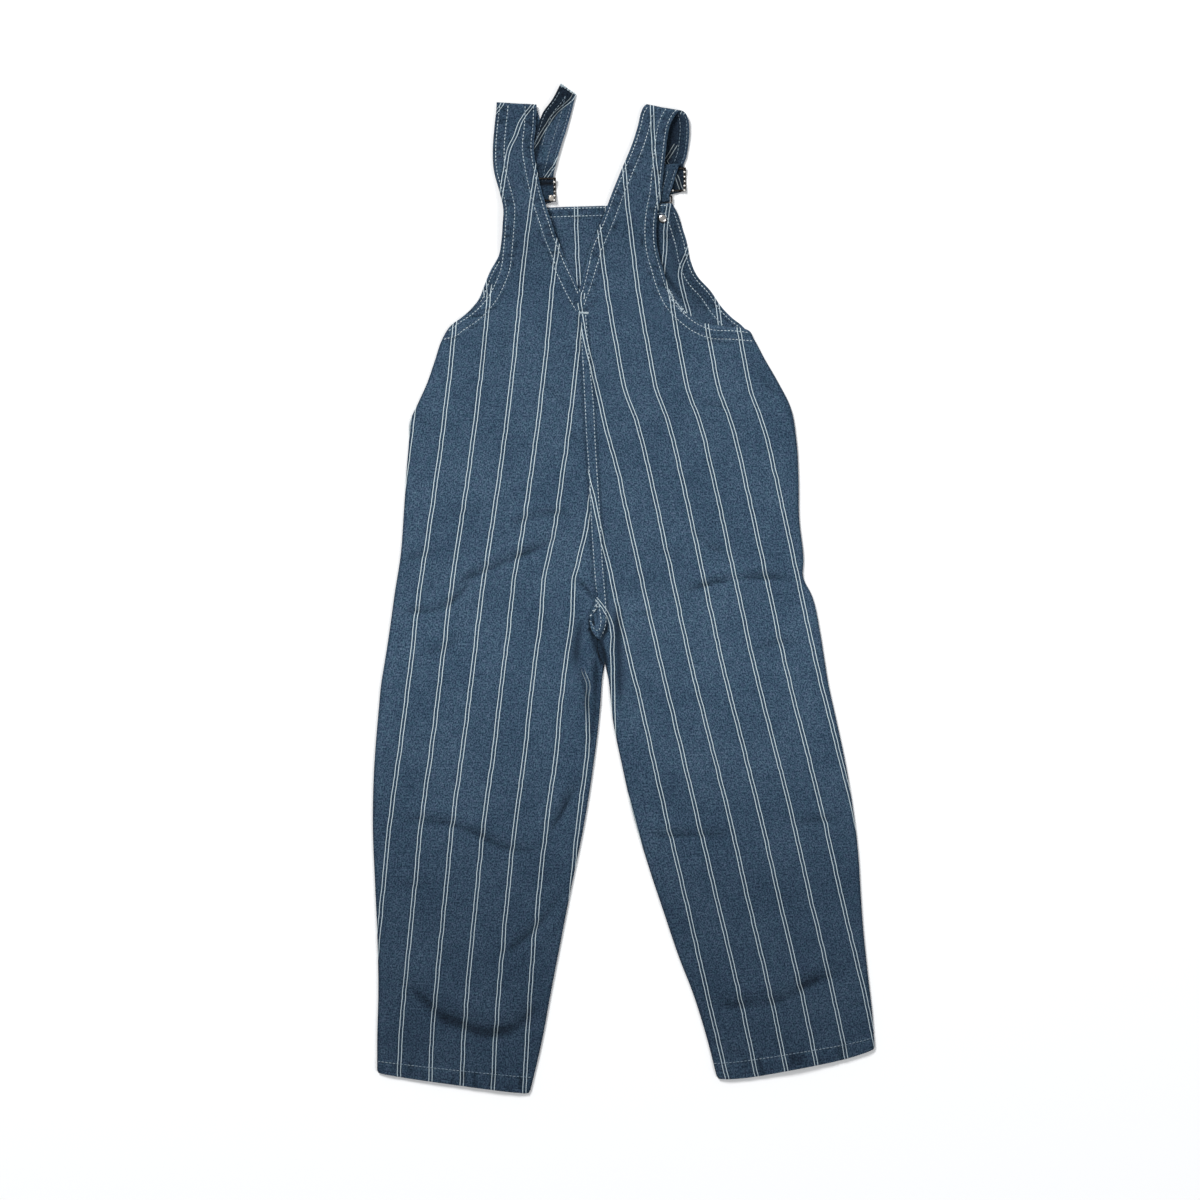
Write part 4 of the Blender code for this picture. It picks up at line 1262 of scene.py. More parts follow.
ARMHOLE_HEM = HemRelief(
    band=0.6, early=0.8, slope=1.8, mark=0.75, mark_size=3.6, pucker=0.24, pucker_size=6.0
)
TURNED_HEM = HemRelief(
    band=0.45, early=0.6, slope=2.2, mark=0.8, mark_size=6.5,
    pucker=0.22, pucker_size=7.5, late=3.0, fade=10.0,
)
BIB_HEM = HemRelief(band=0.35, early=1.0, slope=2.0, mark=0.9, mark_size=4.0, mark_fade=3.0)
FELLED_BAND = HemRelief(
    band=0.75, early=-0.6, slope=1.8, mark=0.0, mark_size=1.0,
    pucker=0.22, pucker_size=4.2, late=2.0,
)


@dataclass(frozen=True)
class StrapShade:
    """How dark a stretch of strap is, and how far its stripes are hidden in the dark.

    start and end are distances along the strap from its fold; tones has the darkness at
    places across it, 0 to 1.
    """

    start: float
    end: float
    tones: tuple[Point, ...]
    plain: float = 0.0


@dataclass
class BackPanel(ClothSheet):
    """A back with its leg and its shoulder strap cut in one.

    underarm_y, seam_top and neck_from are the heights where the armhole's hem, the neck's hem
    and its stitches start; hem_starts has the outer ends of the armhole's stitch lines, and
    end_stitches how far before the strap's end the stitches of an edge start to show.  tail is
    the length of a loose end that is turned away from the light.
    """

    seam_edge: Edge = Edge.RIGHT
    underarm_y: float = 230.0
    seam_top: float = 262.0
    body_top: float = 300.0
    neck_from: float = 292.0
    hem_starts: tuple[Point, ...] = ()
    end_stitches: dict[Edge, float] = field(default_factory=dict)
    tail: float = 0.0
    tail_shade: float = 1.35
    shades: tuple[StrapShade, ...] = ()
    body: Array = field(init=False)

    def shares(self) -> Array:
        """Return the columns' places, closer together beside the seam and at the armhole."""
        even = np.linspace(0, 1, 400)
        density = 1 + 2.0 * np.exp(-even / 0.11) + 0.5 * np.exp(-(1 - even) / 0.07)
        if self.seam_edge is Edge.RIGHT:
            density = density[::-1]
        reach = np.concatenate([[0], np.cumsum((density[1:] + density[:-1]) / 2)])
        inner = np.interp(np.linspace(0, 1, self.columns + 1), reach / reach[-1], even)[1:-1]
        return np.concatenate([[0.0, 0.0028], inner, [0.9972, 1.0]])

    def lay_rows(self) -> None:
        """Draw the rows, then let the centre edges lap or tuck under at the seam."""
        super().lay_rows()
        column = 3 if self.seam_edge is Edge.RIGHT else 0
        self.body = (np.arange(len(self.rows)) < self.fold_row)[:, None]
        y = self.rows[:, column + 1]
        bottom, top = LAP_EDGE[0][0], LAP_EDGE[-1][0]
        here = self.body[:, 0] & (y > bottom) & (y < top)
        target = read_table(y, LAP_EDGE)
        if self.seam_edge is Edge.RIGHT:
            target = np.maximum(target, read_table(y, UNDER_LAP)) + 3.0 * smooth_step((y + 44) / 20)
        ease = smooth_step((y - bottom) / 2) * smooth_step((top - y) / 6)
        moved = self.rows[:, column] + (target - self.rows[:, column]) * ease
        self.rows[:, column] = np.where(here, moved, self.rows[:, column])

    def relieve(self) -> None:
        """Add creases, the rolled edges, the hems, the lapped seam and the shades."""
        x, y = self.grid[..., 0].copy(), self.grid[..., 1].copy()
        share = self.shares()[None, :]
        width = self.widths()[:, None]
        inside = np.minimum(share, 1 - share) * width
        below = smooth_step((self.body_top - y) / 40)
        self.add_creases(smooth_step(inside / 7) * below * self.body)
        self.roll_edges(y, share, inside)
        self.hem = np.where(self.body, self.from_hems(x, y), inside)
        self.raise_hems(x, np.minimum(1, width / FULL_HEM))
        self.join_seam(x, y)
        self.turn_tail(share)
        self.shade_strap(share)
        self.turn_up_hem(y)
        floor_z = np.where(self.body & (y < self.body_top), BACK_Z - 0.25, -1)
        self.grid[..., 2] = np.maximum(self.grid[..., 2], floor_z)

    def roll_edges(self, y: Array, share: Array, inside: Array) -> None:
        """Roll the long edges down a little and paint shade on them, but not at the seam."""
        rolled = 1 - smooth_step(inside / 3.2)
        side = share < 0.5 if self.seam_edge is Edge.RIGHT else share > 0.5
        seam_side = np.where((y > -50) & ~side, 0.0, 1.0) * self.body
        self.paint_shade(0.55 * rolled * seam_side)
        self.grid[..., 2] += (0.5 * smooth_step(inside / 9) - 0.35 * rolled) * self.body

    def from_hems(self, x: Array, y: Array) -> Array:
        """Return the distance from every point to the nearest topstitched edge of the body."""
        fold = min(self.fold_row, len(self.rows) - 1)
        edges = []
        for edge in Edge:
            first = self.row_at(self.seam_top if edge is self.seam_edge else self.underarm_y, edge)
            edges.append(smooth_curve(self.grid[first : fold + 1 : 3, edge.value, :2], 3.0))
        return np.minimum(*(to_path(x, y, line)[0] for line in edges))

    def raise_hems(self, x: Array, strength: Array) -> None:
        """Raise the doubled cloth along the edges, with grooves and puckers at its stitches, and
        paint shade into the dips between the puckers.
        """
        beyond = self.hem - HEM_BAND
        band = ARMHOLE_HEM.rise(beyond) * strength
        band -= 0.22 * soft_ridge(self.hem - EDGE_STITCH, 1.0) * strength
        band -= 0.30 * soft_ridge(self.hem - INNER_STITCH, 1.1) * strength
        along = self.lengths()[:, None] + 0 * x
        puckers = ARMHOLE_HEM.puckers(along, self.hem, self.seed + 3, beyond)
        self.grid[..., 2] += band + puckers * strength
        # painted shade in the dips between the puckers
        marks = ARMHOLE_HEM.marks(along, HEM_STRETCH * self.hem, self.seed + 19, beyond)
        self.paint_shade(marks * strength * self.body)

    def turn_tail(self, share: Array) -> None:
        """Darken the side of the loose strap end that is turned away from the light."""
        if self.tail > 0:
            up = (self.lengths() - self.lengths()[-1] + self.tail)[:, None]
            limit = np.maximum(0.36, up / self.tail)
            shade = self.tail_shade * smooth_step((limit - share) / 0.12) * (up > -26)
            self.paint_shade(shade)

    def shade_strap(self, share: Array) -> None:
        """Darken the stretches of strap that lie in the shadow of others."""
        lengths = self.lengths()
        beyond = (lengths - lengths[min(self.fold_row, len(lengths) - 1)])[:, None]
        for shade in self.shades:
            here = smooth_step((beyond - shade.start) / SHADE_EDGE)
            here = here * smooth_step((shade.end - beyond) / SHADE_EDGE)
            self.paint_shade(read_table(share, shade.tones) * here)
            self.plain = np.maximum(self.plain, shade.plain * here + 0 * share)

    def join_seam(self, x: Array, y: Array) -> None:
        """Lap the right back over the left one along the centre seam, as a raised felled band, and
        paint the shade beside the lap.
        """
        here = smooth_step((y - SEAM_FROM) / 3) * smooth_step((SEAM_TO - y) / 8) * self.body
        beyond = x - read_table(y, LAP_EDGE)
        join = self.lap_over if self.seam_edge is Edge.LEFT else self.tuck_under
        # painted shade beside the lapped edge
        self.paint_shade(join(x, y, here, beyond))

    def lap_over(self, x: Array, y: Array, here: Array, beyond: Array) -> Array:
        """Raise the right back's felled band and roll its rounded end; return the band's shade."""
        past_band = x - read_table(y, FELL_RIGHT[::-1])
        grooves = 0.25 * soft_ridge(past_band, 0.9) + 0.15 * soft_ridge(beyond - 0.9, 0.8)
        band = FELLED_BAND.rise(past_band) - grooves + FELLED_BAND.puckers(y, x, 31.0, past_band)
        self.grid[..., 2] += band * here
        rim = np.maximum(0, np.minimum(beyond, FLAP_X - x)) / 1.6
        rolled = 0.9 * np.exp(-((rim - 1.0) ** 2) * 2) - 0.5 * np.exp(-((rim - 2.3) ** 2) * 2)
        rolled = rolled * (rim < 6)
        end = 1 - smooth_step((y + 14) / 8)
        self.grid[..., 2] += rolled * end * smooth_step((y + 49) / 4) * (x < FLAP_X) * self.body
        worn = np.where(here > 0.5, np.maximum(beyond, 0), NO_HEM)
        self.hem = np.minimum(self.hem, np.where(worn < 2, worn, NO_HEM))
        turned = smooth_step((x - read_table(y, HIP_TURN)) / 2)
        self.plain = turned * self.body * (y < HIP_TO) * (y > HIP_FROM)
        return 0.5 * soft_ridge(past_band - 1.6, 1.3) * here * smooth_step((247 - y) / 6)

    def tuck_under(self, x: Array, y: Array, here: Array, beyond: Array) -> Array:
        """Press the left back's edge down under the right one; return the shade beside it."""
        self.grid[..., 2] -= 0.9 * smooth_step((beyond + 3.4) / 2.6) * here
        self.plain = read_table(y, HIDDEN_STRIPES) * smooth_step((x + 45) / 3) * self.body
        shade = 0.5 * smooth_step((beyond + 3.0) / 2.4) * here * smooth_step((250 - y) / 6)
        return shade * (1 + 2 * smooth_step((-24 - y) / 6))

    def turn_up_hem(self, y: Array) -> None:
        """Raise the doubled cloth of the leg hem, with puckers along its stitching, and paint shade
        into the dips between them.
        """
        up = self.lengths()[:, None] + 0 * y
        beyond = up - LEG_HEM
        across = self.shares()[None, :] * self.widths()[:, None]
        puckers = TURNED_HEM.puckers(across, up, self.seed + 11, beyond)
        self.grid[..., 2] += TURNED_HEM.rise(beyond) + puckers
        # painted shade in the dips between the puckers
        marks = TURNED_HEM.marks(across, HEM_STRETCH * up, self.seed + 17, beyond)
        self.paint_shade(marks)
        self.hem = np.where(up < 60, np.minimum(self.hem, up * HEM_BAND / LEG_HEM), self.hem)


@dataclass
class FrontPanel(ClothSheet):
    """A front, which lies flat on the floor."""

    def relieve(self) -> None:
        """Mark the leg hem and the shaded crotch; the front is flat where it rests."""
        x, y = self.grid[..., 0], self.grid[..., 1]
        up = self.lengths()[:, None] + 0 * x
        self.hem = np.where(up < 40, up * HEM_BAND / LEG_HEM, NO_HEM)
        beside = soft_ridge(x - read_table(y, CROTCH_GAP), 6.0)
        self.dark = 1.35 * beside * smooth_step((y + 88) / 18) * smooth_step((-34 - y) / 6)


@dataclass
class BibPanel(ClothSheet):
    """The bib, seen from inside, lifted by the buttons and the fastened hook."""

    def relieve(self) -> None:
        """Add the lift over the buttons, the hems and faint waves, and paint shade in the hem's
        dips and under the edges that lie over the bib.
        """
        x, y = self.grid[..., 0].copy(), self.grid[..., 1].copy()
        self.grid[..., 2] += bib_rise(x, y)
        top = self.grid[-1, ::4, :2]
        nearest = to_path(x, y, top)[0] * HEM_BAND / BIB_HEM_DEPTH
        for edge in Edge:
            first = self.row_at(226.0, edge)
            line = smooth_curve(self.grid[first::3, edge.value, :2], 3.0)
            nearest = np.minimum(nearest, to_path(x, y, line)[0])
        self.hem = nearest
        share = self.shares()[None, :]
        inside = smooth_step(np.minimum(share, 1 - share) * self.widths()[:, None] / 20)
        free = smooth_step((y - 190) / 40)
        waves = np.maximum(0, ripple(x, y, 34.0, self.seed, 1.6)) * 1.1 * free * inside
        beyond = self.hem - HEM_BAND
        self.grid[..., 2] += BIB_HEM.rise(beyond) + waves
        # painted shade in the dips of the bib's hem
        self.paint_shade(BIB_HEM.marks(x, y, self.seed + 19, beyond))
        # the bib's details paint shade under the edges of the backs that lie over it
        self.add_creases(free * inside * 0.6)
        self.grid[..., 2] = np.maximum(self.grid[..., 2], self.rest)


CAP_R = 7.0              # a button's cap, and how far it stands under the cloth
CAP_HEIGHT = 1.6
NECK_R = 2.2             # a button's neck, and the height of its top
NECK_TOP = 3.3
BIB_LIFT = NECK_TOP + GAP
BUTTON_SLOPE = 11.5      # width over which the bib comes down around the left button
HOOK_SLOPE = 16.0        # and around the right button with its hook
LEFT_BUTTON = (-96.0, 326.5)
RIGHT_BUTTON = (34.7, 333.0)
WIRE_R = 0.7             # the hooks' wire
HOOK_BAR = 22.0          # length of a hook's bar
HOOK_DROP = 19.75        # from a hook's bar to its button
STRAP_ON_BAR = 16.5      # width of a strap that is gathered on the bar
WRAP_R = 1.8             # middle of a strap that goes round the bar
RIGHT_FOLD_REACH = 5.4   # how far the fastened strap's fold hangs below the bar
LEFT_HOOK = (-81.5, 339.5)
LEFT_HOOK_Z = 4.3
LEFT_HOOK_TURN = math.radians(12)
RIGHT_HOOK_TURN = math.radians(6.5)
RIGHT_HOOK_Z = CAP_HEIGHT + GAP + WIRE_R
RIGHT_HOOK = (
    RIGHT_BUTTON[0] - HOOK_DROP * math.sin(RIGHT_HOOK_TURN),
    RIGHT_BUTTON[1] + HOOK_DROP * math.cos(RIGHT_HOOK_TURN),
)
SLIDE_WIDTH = 28.0
SLIDE_HEIGHT = 21.6
SLIDE_BAR = 1.7          # width of a slide's bars
SLIDE_PLATE = 1.2        # thickness of a slide
SLIDE_BAR_Z = 0.7        # middle of a slide's middle bar
LEFT_SLIDE = (-75.2, 359.1)
RIGHT_SLIDE = (41.8, 368.3)
STRAP_THROUGH = 23.4     # width of a strap in its slide
BESIDE_BAR = 0.3         # from a bar's edge to where the strap reaches its height
OVER_BAR_Z = SLIDE_BAR_Z + SLIDE_PLATE / 2 + GAP + WALL / 2
LAYER = WALL + GAP       # from one layer to the next
FOLD_LEFT = (-114.6, 436.0)   # ends of the left strap's fold
FOLD_RIGHT = (-78.6, 434.0)
FOLD_REACH = 1.3
STRAP_BACK_Z = 3.1       # middle of the left strap's upper layer at its fold


def bib_rise(x: Array, y: Array) -> Array:
    """Return how far the buttons and the fastened hook hold the bib off the floor."""
    past_neck = np.hypot(x - LEFT_BUTTON[0], y - LEFT_BUTTON[1]) - NECK_R - GAP - WALL
    left = 1 - smooth_step(past_neck / BUTTON_SLOPE)
    top = np.array([RIGHT_HOOK[0], RIGHT_HOOK[1] - WRAP_R])
    share = np.clip((y - RIGHT_BUTTON[1]) / (top[1] - RIGHT_BUTTON[1]), 0, 1)
    half_width = CAP_R + 1.5 + (HOOK_BAR / 2 - CAP_R) * share
    past_hook = to_path(x, y, np.array([top, RIGHT_BUTTON]))[0] - half_width
    right = 1 - smooth_step(past_hook / HOOK_SLOPE)
    return BIB_LIFT * np.maximum(left, right)


def half_turn(
    left: Point, right: Point, direction: Point,
    reach: float, z_from: float, z_to: float, steps: int = 8,
) -> list[Section]:
    """Return the sections of a strap that turns over, out to reach in a direction."""
    sections = []
    for step in range(steps + 1):
        angle = math.pi * step / steps
        out = reach * math.sin(angle)
        z = (z_from + z_to) / 2 + (z_from - z_to) / 2 * math.cos(angle)
        moved = [(x + out * direction[0], y + out * direction[1], z) for x, y in (left, right)]
        sections.append(Section(*moved))
    return sections


def through_slide(middle: Point, z_under: float, z_over: float, upwards: bool) -> list[Section]:
    """Return the sections of a strap under a slide's outer bars and over its middle bar."""
    left, right = middle[0] - STRAP_THROUGH / 2, middle[0] + STRAP_THROUGH / 2
    outer = SLIDE_HEIGHT / 2
    heights = [
        (outer + BESIDE_BAR, z_under),
        (outer - SLIDE_BAR - BESIDE_BAR, z_under),
        (SLIDE_BAR / 2 + BESIDE_BAR, z_over),
        (-SLIDE_BAR / 2 - BESIDE_BAR, z_over),
        (-outer + SLIDE_BAR + BESIDE_BAR, z_under),
        (-outer + SLIDE_BAR / 2, z_under),
    ]
    if upwards:
        heights.reverse()
    return [Section((left, middle[1] + y, z), (right, middle[1] + y, z)) for y, z in heights]


def round_hook(middle: Point, turn: float, z: float, reach: float = WRAP_R) -> list[Section]:
    """Return the sections of a strap that goes under a hook's bar and back over it."""
    across = (math.cos(turn) * STRAP_ON_BAR / 2, math.sin(turn) * STRAP_ON_BAR / 2)
    direction = (math.sin(turn), -math.cos(turn))
    left = (middle[0] - across[0], middle[1] - across[1])
    right = (middle[0] + across[0], middle[1] + across[1])
    return half_turn(left, right, direction, reach, z - WRAP_R, z + WRAP_R)


# ---------------- creases

LEFT_CREASES = [
    Crease(((-162, -9), (-145, 8), (-127, 16), (-101, 27), (-68, 42), (-50, 55)), 4.4, 2.1, 1.5),
    Crease(((-105, 55), (-93, 61), (-74, 67), (-40, 65)), 3.4, 1.5, 1.2),
    Crease(((-206, -26), (-198, -22), (-167, -19), (-140, 3), (-128, 16)), 4.0, 1.5, 1.2),
    Crease(((-202, 26), (-185, 29), (-160, 34)), 4.0, 1.0, 0.8),
    Crease(((-160, 62), (-140, 70), (-122, 72)), 5.0, 0.7, 0.8),
    Crease(((-186, -62), (-160, -52), (-138, -34)), 6.0, 0.8, 0.8),
    Crease(((-216, -206), (-203, -207), (-156, -211), (-133, -220), (-104, -233), (-69, -229),
        (-58, -212)), 4.6, 1.9, 1.5),
    Crease(((-72, -228), (-58, -204), (-43, -179), (-31, -170)), 4.6, 1.6, 1.3),
    Crease(((-48, -266), (-54, -272), (-74, -299), (-108, -327), (-122, -335)), 5.0, 1.6, 1.3),
    Crease(((-218, -338), (-211, -344), (-188, -361), (-166, -382), (-143, -393), (-119, -398),
        (-98, -393), (-77, -370), (-67, -354)), 9.0, 2.6, 1.7),
    Crease(((-112, -338), (-105, -331), (-77, -303), (-64, -288)), 4.5, 1.1, 0.9),
    Crease(((-210, -260), (-190, -268), (-165, -262)), 5.0, 0.8, 0.8),
    Crease(((-75, 190), (-69, 182), (-54, 166), (-50, 156)), 4.0, 1.2, 1.0),
    Crease(((-52, 144), (-45, 136), (-34, 121)), 3.5, 1.0, 0.8),
    Crease(((-127, 240), (-126, 233), (-126, 204), (-130, 186)), 5.0, 0.8, 0.7, pull=0),
    Crease(((-104, 256), (-105, 242), (-105, 213), (-110, 190)), 5.0, 0.8, 0.7, pull=0),
    Crease(((-196, 160), (-180, 150), (-168, 132), (-164, 110)), 5.0, 0.8, 0.7, pull=0),
]
LEFT_CROTCH = [
    Crease(((-46.5, 9), (-42.6, 6.6), (-36.9, 4), (-32.0, -2.7), (-27.0, -9.9)), 2.3, 1.8, 1.6,
        head=0.2, fade=0.05),
    Crease(((-31.4, -34), (-29, -38.5), (-25.5, -43.5), (-21, -48)), 3.0, 6.0, head=0.15,
        fade=0.05),
    Crease(((-36, -22), (-40.5, -40), (-43, -60), (-41, -78)), 6.5, 2.0, 2.2, head=0.3, fade=0.4),
    Crease(((-42.5, -66), (-38.5, -76), (-34, -94), (-33, -122)), 4.0, 1.8, 1.4, head=0.3,
        fade=0.4),
    Crease(((-29.5, -36), (-25, -52), (-20.5, -64), (-18.5, -74)), 3.6, 3.8, 1.0, head=0.1,
        fade=0.3),
    Crease(((-25, -56), (-25.5, -84), (-27, -116), (-32, -160)), 6.0, 2.0, 1.0, head=0.15,
        fade=0.5),
    Crease(((-22.6, -44), (-20.4, -54), (-18.0, -64), (-17.4, -76)), 3.2, 3.0, head=0.05,
        fade=0.4, pull=0),
]
RIGHT_CREASES = [
    Crease(((44, -10), (56, -3), (78, 5), (104, 9.5), (126, 11), (155, 6), (164, 3)), 3.8, 2.1,
        1.5),
    Crease(((58, 56), (63, 52), (74, 41), (96, 31)), 4.0, 1.4, 1.1),
    Crease(((0, -22), (4, -24), (21, -24), (30, -22)), 3.5, 1.0, 0.8, pull=0),
    Crease(((20, 42), (40, 30), (56, 26)), 5.0, 0.7, 0.7),
    Crease(((110, -60), (140, -48), (168, -50)), 6.0, 0.8, 0.8),
    Crease(((12, -218), (18, -220), (47, -221), (95, -220), (104, -218)), 4.6, 1.7, 1.4),
    Crease(((146, -215), (154, -212), (178, -207), (201, -208)), 4.4, 1.6, 1.3),
    Crease(((64, -366), (75, -369), (89, -373.5), (109, -373.6), (131, -371), (150, -364),
        (161, -357), (183, -347), (214, -334)), 7.0, 2.0, 1.5),
    Crease(((74, -405), (78, -407), (88, -410), (92, -411)), 2.6, 1.2, 0.8, pull=0),
    Crease(((90, -413), (94, -414), (104, -417), (108, -418)), 2.6, 1.2, 0.8, pull=0),
    Crease(((202, -375), (207, -374), (222, -374)), 2.4, 1.2, 0.8, pull=0, fade=0.1),
    Crease(((203, -394), (209, -393), (223, -392)), 2.4, 1.2, 0.8, pull=0, fade=0.1),
    Crease(((108, 208), (116, 201), (135, 177), (144, 172)), 4.5, 1.2, 1.0, pull=0),
    Crease(((70, 168), (76, 166), (86, 164), (92, 161)), 3.5, 0.8, 0.7, pull=0),
    Crease(((66, 232), (72, 226), (86, 222), (104, 221)), 3.5, 1.0, 0.8, pull=0),
]
RIGHT_CROTCH = [
    Crease(((-21.6, -49), (-18.2, -42), (-16.0, -37), (-15.2, -30), (-15.4, -22)), 2.8, 4.6, 1.0,
        head=0.05, fade=0.5),
    Crease(((-26.8, -18), (-28.2, -24), (-27.6, -31), (-24.6, -34.5)), 1.4, 2.8, -0.6),
    Crease(((-23.8, -14), (-24.2, -22), (-23.6, -30)), 1.2, 1.8, 0.8),
    Crease(((-6.5, -6), (-5.6, -34), (-4.8, -64), (-3.2, -118)), 6.0, 2.2, 2.0, head=0.25,
        fade=0.4),
    Crease(((-20.4, -45), (-18.4, -54), (-16.0, -64), (-14.6, -80)), 2.8, 3.0, head=0.05,
        fade=0.4, pull=0),
]
# Painted shade on the bib under the edges of the backs that lie over it.
BIB_SHADES = [
    Crease(((30, 336), (30.5, 305), (36, 286), (46, 270), (58, 256), (76, 246)), 4.8, 2.2,
        head=0.05, fade=0.4),
    Crease(((44, 344), (48, 300), (64, 272), (84, 246)), 22.0, 1.25, head=0.02, fade=0.2),
    Crease(((-72, 350), (-59, 313), (-51, 286), (-42.5, 262)), 3.2, 1.5, head=0.05, fade=0.05),
    Crease(((-12, 350), (-25, 313), (-33, 286), (-41.5, 262)), 2.6, 1.2, head=0.05, fade=0.05),
    Crease(((62, 310), (57.5, 299), (52.5, 289), (48, 283)), 2.0, 1.8, 0.8, head=0.1, fade=0.2),
]


# The shaded stretches of the straps.

LEFT_SHADES = (
    StrapShade(60, 144, ((0, 0.5), (1, 0.6)), plain=1.0),
    StrapShade(135.5, 142, ((0, 2.0), (1, 2.0)), plain=1.0),
    StrapShade(142, 158, ((0, 1.0), (0.5, 0.8), (1, 0.45))),
)
RIGHT_SHADES = (
    StrapShade(2, 52, ((0, 1.5), (0.42, 1.5), (0.6, 1.2), (0.8, 0.75), (1, 0.4))),
    StrapShade(2, 33, ((0, 0.2), (1, 0.2)), plain=1.0),
    StrapShade(50, 84, ((0, 0.8), (0.55, 1.2), (1, 1.3))),
    StrapShade(88, 130, ((0, 0.5), (1, 0.35))),
)


# ---------------- topstitching


EDGE_PITCH = 3.2       # from one stitch to the next along the hems
ABOVE = 0.05           # metres above the floor, from where the cloth is met
MAX_STEP = 1.5 * MM    # a stitch over a higher step is left out


@dataclass
class Topstitch:
    """Rows of machine stitches, joined into one mesh for each piece they are sewn on."""

    name: str
    sheet: Object
    length: float = 2.3
    width: float = 0.8
    height: float = 0.55
    pitch: float = 3.4
    spots: list[tuple[Vector, Vector, Vector]] = field(default_factory=list)

    def __post_init__(self) -> None:
        """Keep the sheet's surface ready to find."""
        mesh = self.sheet.data
        places = [vertex.co for vertex in mesh.vertices]
        faces = [tuple(face.vertices) for face in mesh.polygons]
        self.surface = BVHTree.FromPolygons(places, faces)

    def land(self, x: float, y: float) -> tuple[Vector | None, Vector | None]:
        """Return where the sheet is met from above at a place (x, y), and its normal there."""
        return self.surface.ray_cast(Vector((x * MM, y * MM, ABOVE)), Vector((0, 0, -1)))[:2]

    def sew(self, line: Array, pitch: float | None = None) -> None:
        """Lay stitches along an (x, y) line on top of the sheet.

        Args:
            line: the line's points in millimetres.
            pitch: distance from one stitch to the next.
        """
        pitch = pitch or self.pitch
        along = distances(line[:, :2])
        for place in np.arange(pitch / 2, along[-1] - self.length / 2, pitch):
            ends = []
            for offset in (-self.length / 2, self.length / 2):
                x = np.interp(place + offset, along, line[:, 0])
                y = np.interp(place + offset, along, line[:, 1])
                hit, normal = self.land(x, y)
                if hit is not None:
                    ends.append((hit, normal))
            if len(ends) == 2 and abs(ends[0][0].z - ends[1][0].z) < MAX_STEP:
                middle = (ends[0][0] + ends[1][0]) / 2
                self.spots.append((middle, ends[1][0] - ends[0][0], ends[0][1] + ends[1][1]))

    def sew_on_rows(
        self, panel: ClothSheet, rows: range, across: Array, under: bool = False
    ) -> None:
        """Lay stitches along a sheet's rows, where its own layers hide each other from above.

        Args:
            panel: the sheet.
            rows: the rows that the line crosses.
            across: the line's place across the sheet, 0 to 1, on each of the sheet's rows.
            under: whether the line is on the sheet's lower face.
        """
        shares = panel.shares()
        columns = np.interp(across, shares, np.arange(len(shares)))
        points = []
        for row in rows:
            low = min(int(columns[row]), len(shares) - 2)
            part = columns[row] - low
            points.append(panel.grid[row, low] * (1 - part) + panel.grid[row, low + 1] * part)
        line = np.array(points)
        normals = sheet_normals(panel)
        along = distances(line)
        face = -1 if under else 1
        for place in np.arange(self.pitch / 2, along[-1] - self.length / 2, self.pitch):
            start, end = (
                np.array([np.interp(place + offset, along, line[:, axis]) for axis in range(3)])
                for offset in (-self.length / 2, self.length / 2)
            )
            row = rows[int(np.interp(place, along, np.arange(len(line))))]
            normal = Vector(normals[row, int(columns[row])]) * face
            middle = Vector((start + end) / 2 * MM) + normal * (WALL / 2 * MM)
            self.spots.append((middle, Vector((end - start) * MM), normal))

    def bar(self, start: Point, end: Point, pitch: float = 0.75) -> None:
        """Lay the close cross stitches of a bartack between two (x, y) places."""
        line = np.array([start, end])
        along = (line[1] - line[0]) / np.linalg.norm(line[1] - line[0])
        for place in np.arange(0, np.linalg.norm(line[1] - line[0]), pitch):
            hit, normal = self.land(*(line[0] + along * place))
            if hit is not None:
                across = Vector((-along[1] + 0.2, along[0], 0.0)) * MM
                self.spots.append((hit + normal * 0.15 * MM, across, normal))

    def fray(self, line: Array, count: int, seed: int) -> None:
        """Let short broken threads stand out from an (x, y) line.

        Args:
            line: the worn edge.
            count: how many threads.
            seed: start of the random numbers.
        """
        chance = np.random.default_rng(seed)
        for _ in range(count):
            place = line[int(chance.integers(len(line)))] + chance.normal(0, 0.5, 2)
            angle = chance.uniform(0, math.pi)
            hit, normal = self.land(*place)
            if hit is not None:
                self.spots.append((hit, Vector((math.cos(angle), math.sin(angle), 0)) * MM, normal))

    def build(self, material: Material) -> Object:
        """Join the stitches into one mesh.

        Args:
            material: the thread.

        Returns:
            The finished object.
        """
        deselect_all()
        bpy.ops.mesh.primitive_uv_sphere_add(segments=6, ring_count=4, radius=0.5)
        stitch = bpy.context.object
        places = np.array([vertex.co for vertex in stitch.data.vertices])
        faces = [list(face.vertices) for face in stitch.data.polygons]
        bpy.data.objects.remove(stitch)
        places = places[:, [2, 0, 1]] * np.array([self.length, self.width, self.height]) * MM
        points, polygons = [], []
        for middle, along, normal in self.spots:
            forward = along.normalized()
            side = normal.cross(forward).normalized()
            up = forward.cross(side)
            turn = np.array([forward, side, up])
            polygons += [[index + len(places) * len(points) for index in face] for face in faces]
            points.append(places @ turn + np.array(middle))
        mesh = bpy.data.meshes.new(self.name)
        mesh.from_pydata(np.concatenate(points).tolist(), [], polygons)
        mesh.materials.append(material)
        mesh.shade_smooth()
        stitching = bpy.data.objects.new(self.name, mesh)
        bpy.context.scene.collection.objects.link(stitching)
        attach(stitching, BODY)
        LOG.info("%s: %d stitches", self.name, len(self.spots))
        return stitching


def sheet_normals(panel: ClothSheet) -> Array:
    """Return the upward normal of every point of a sheet's middle."""
    down_rows = np.gradient(panel.grid, axis=0)
    across = np.gradient(panel.grid, axis=1)
    normals = np.cross(across, down_rows)
    return normals / np.maximum(np.linalg.norm(normals, axis=2, keepdims=True), 1e-9)


# ---------------- metal


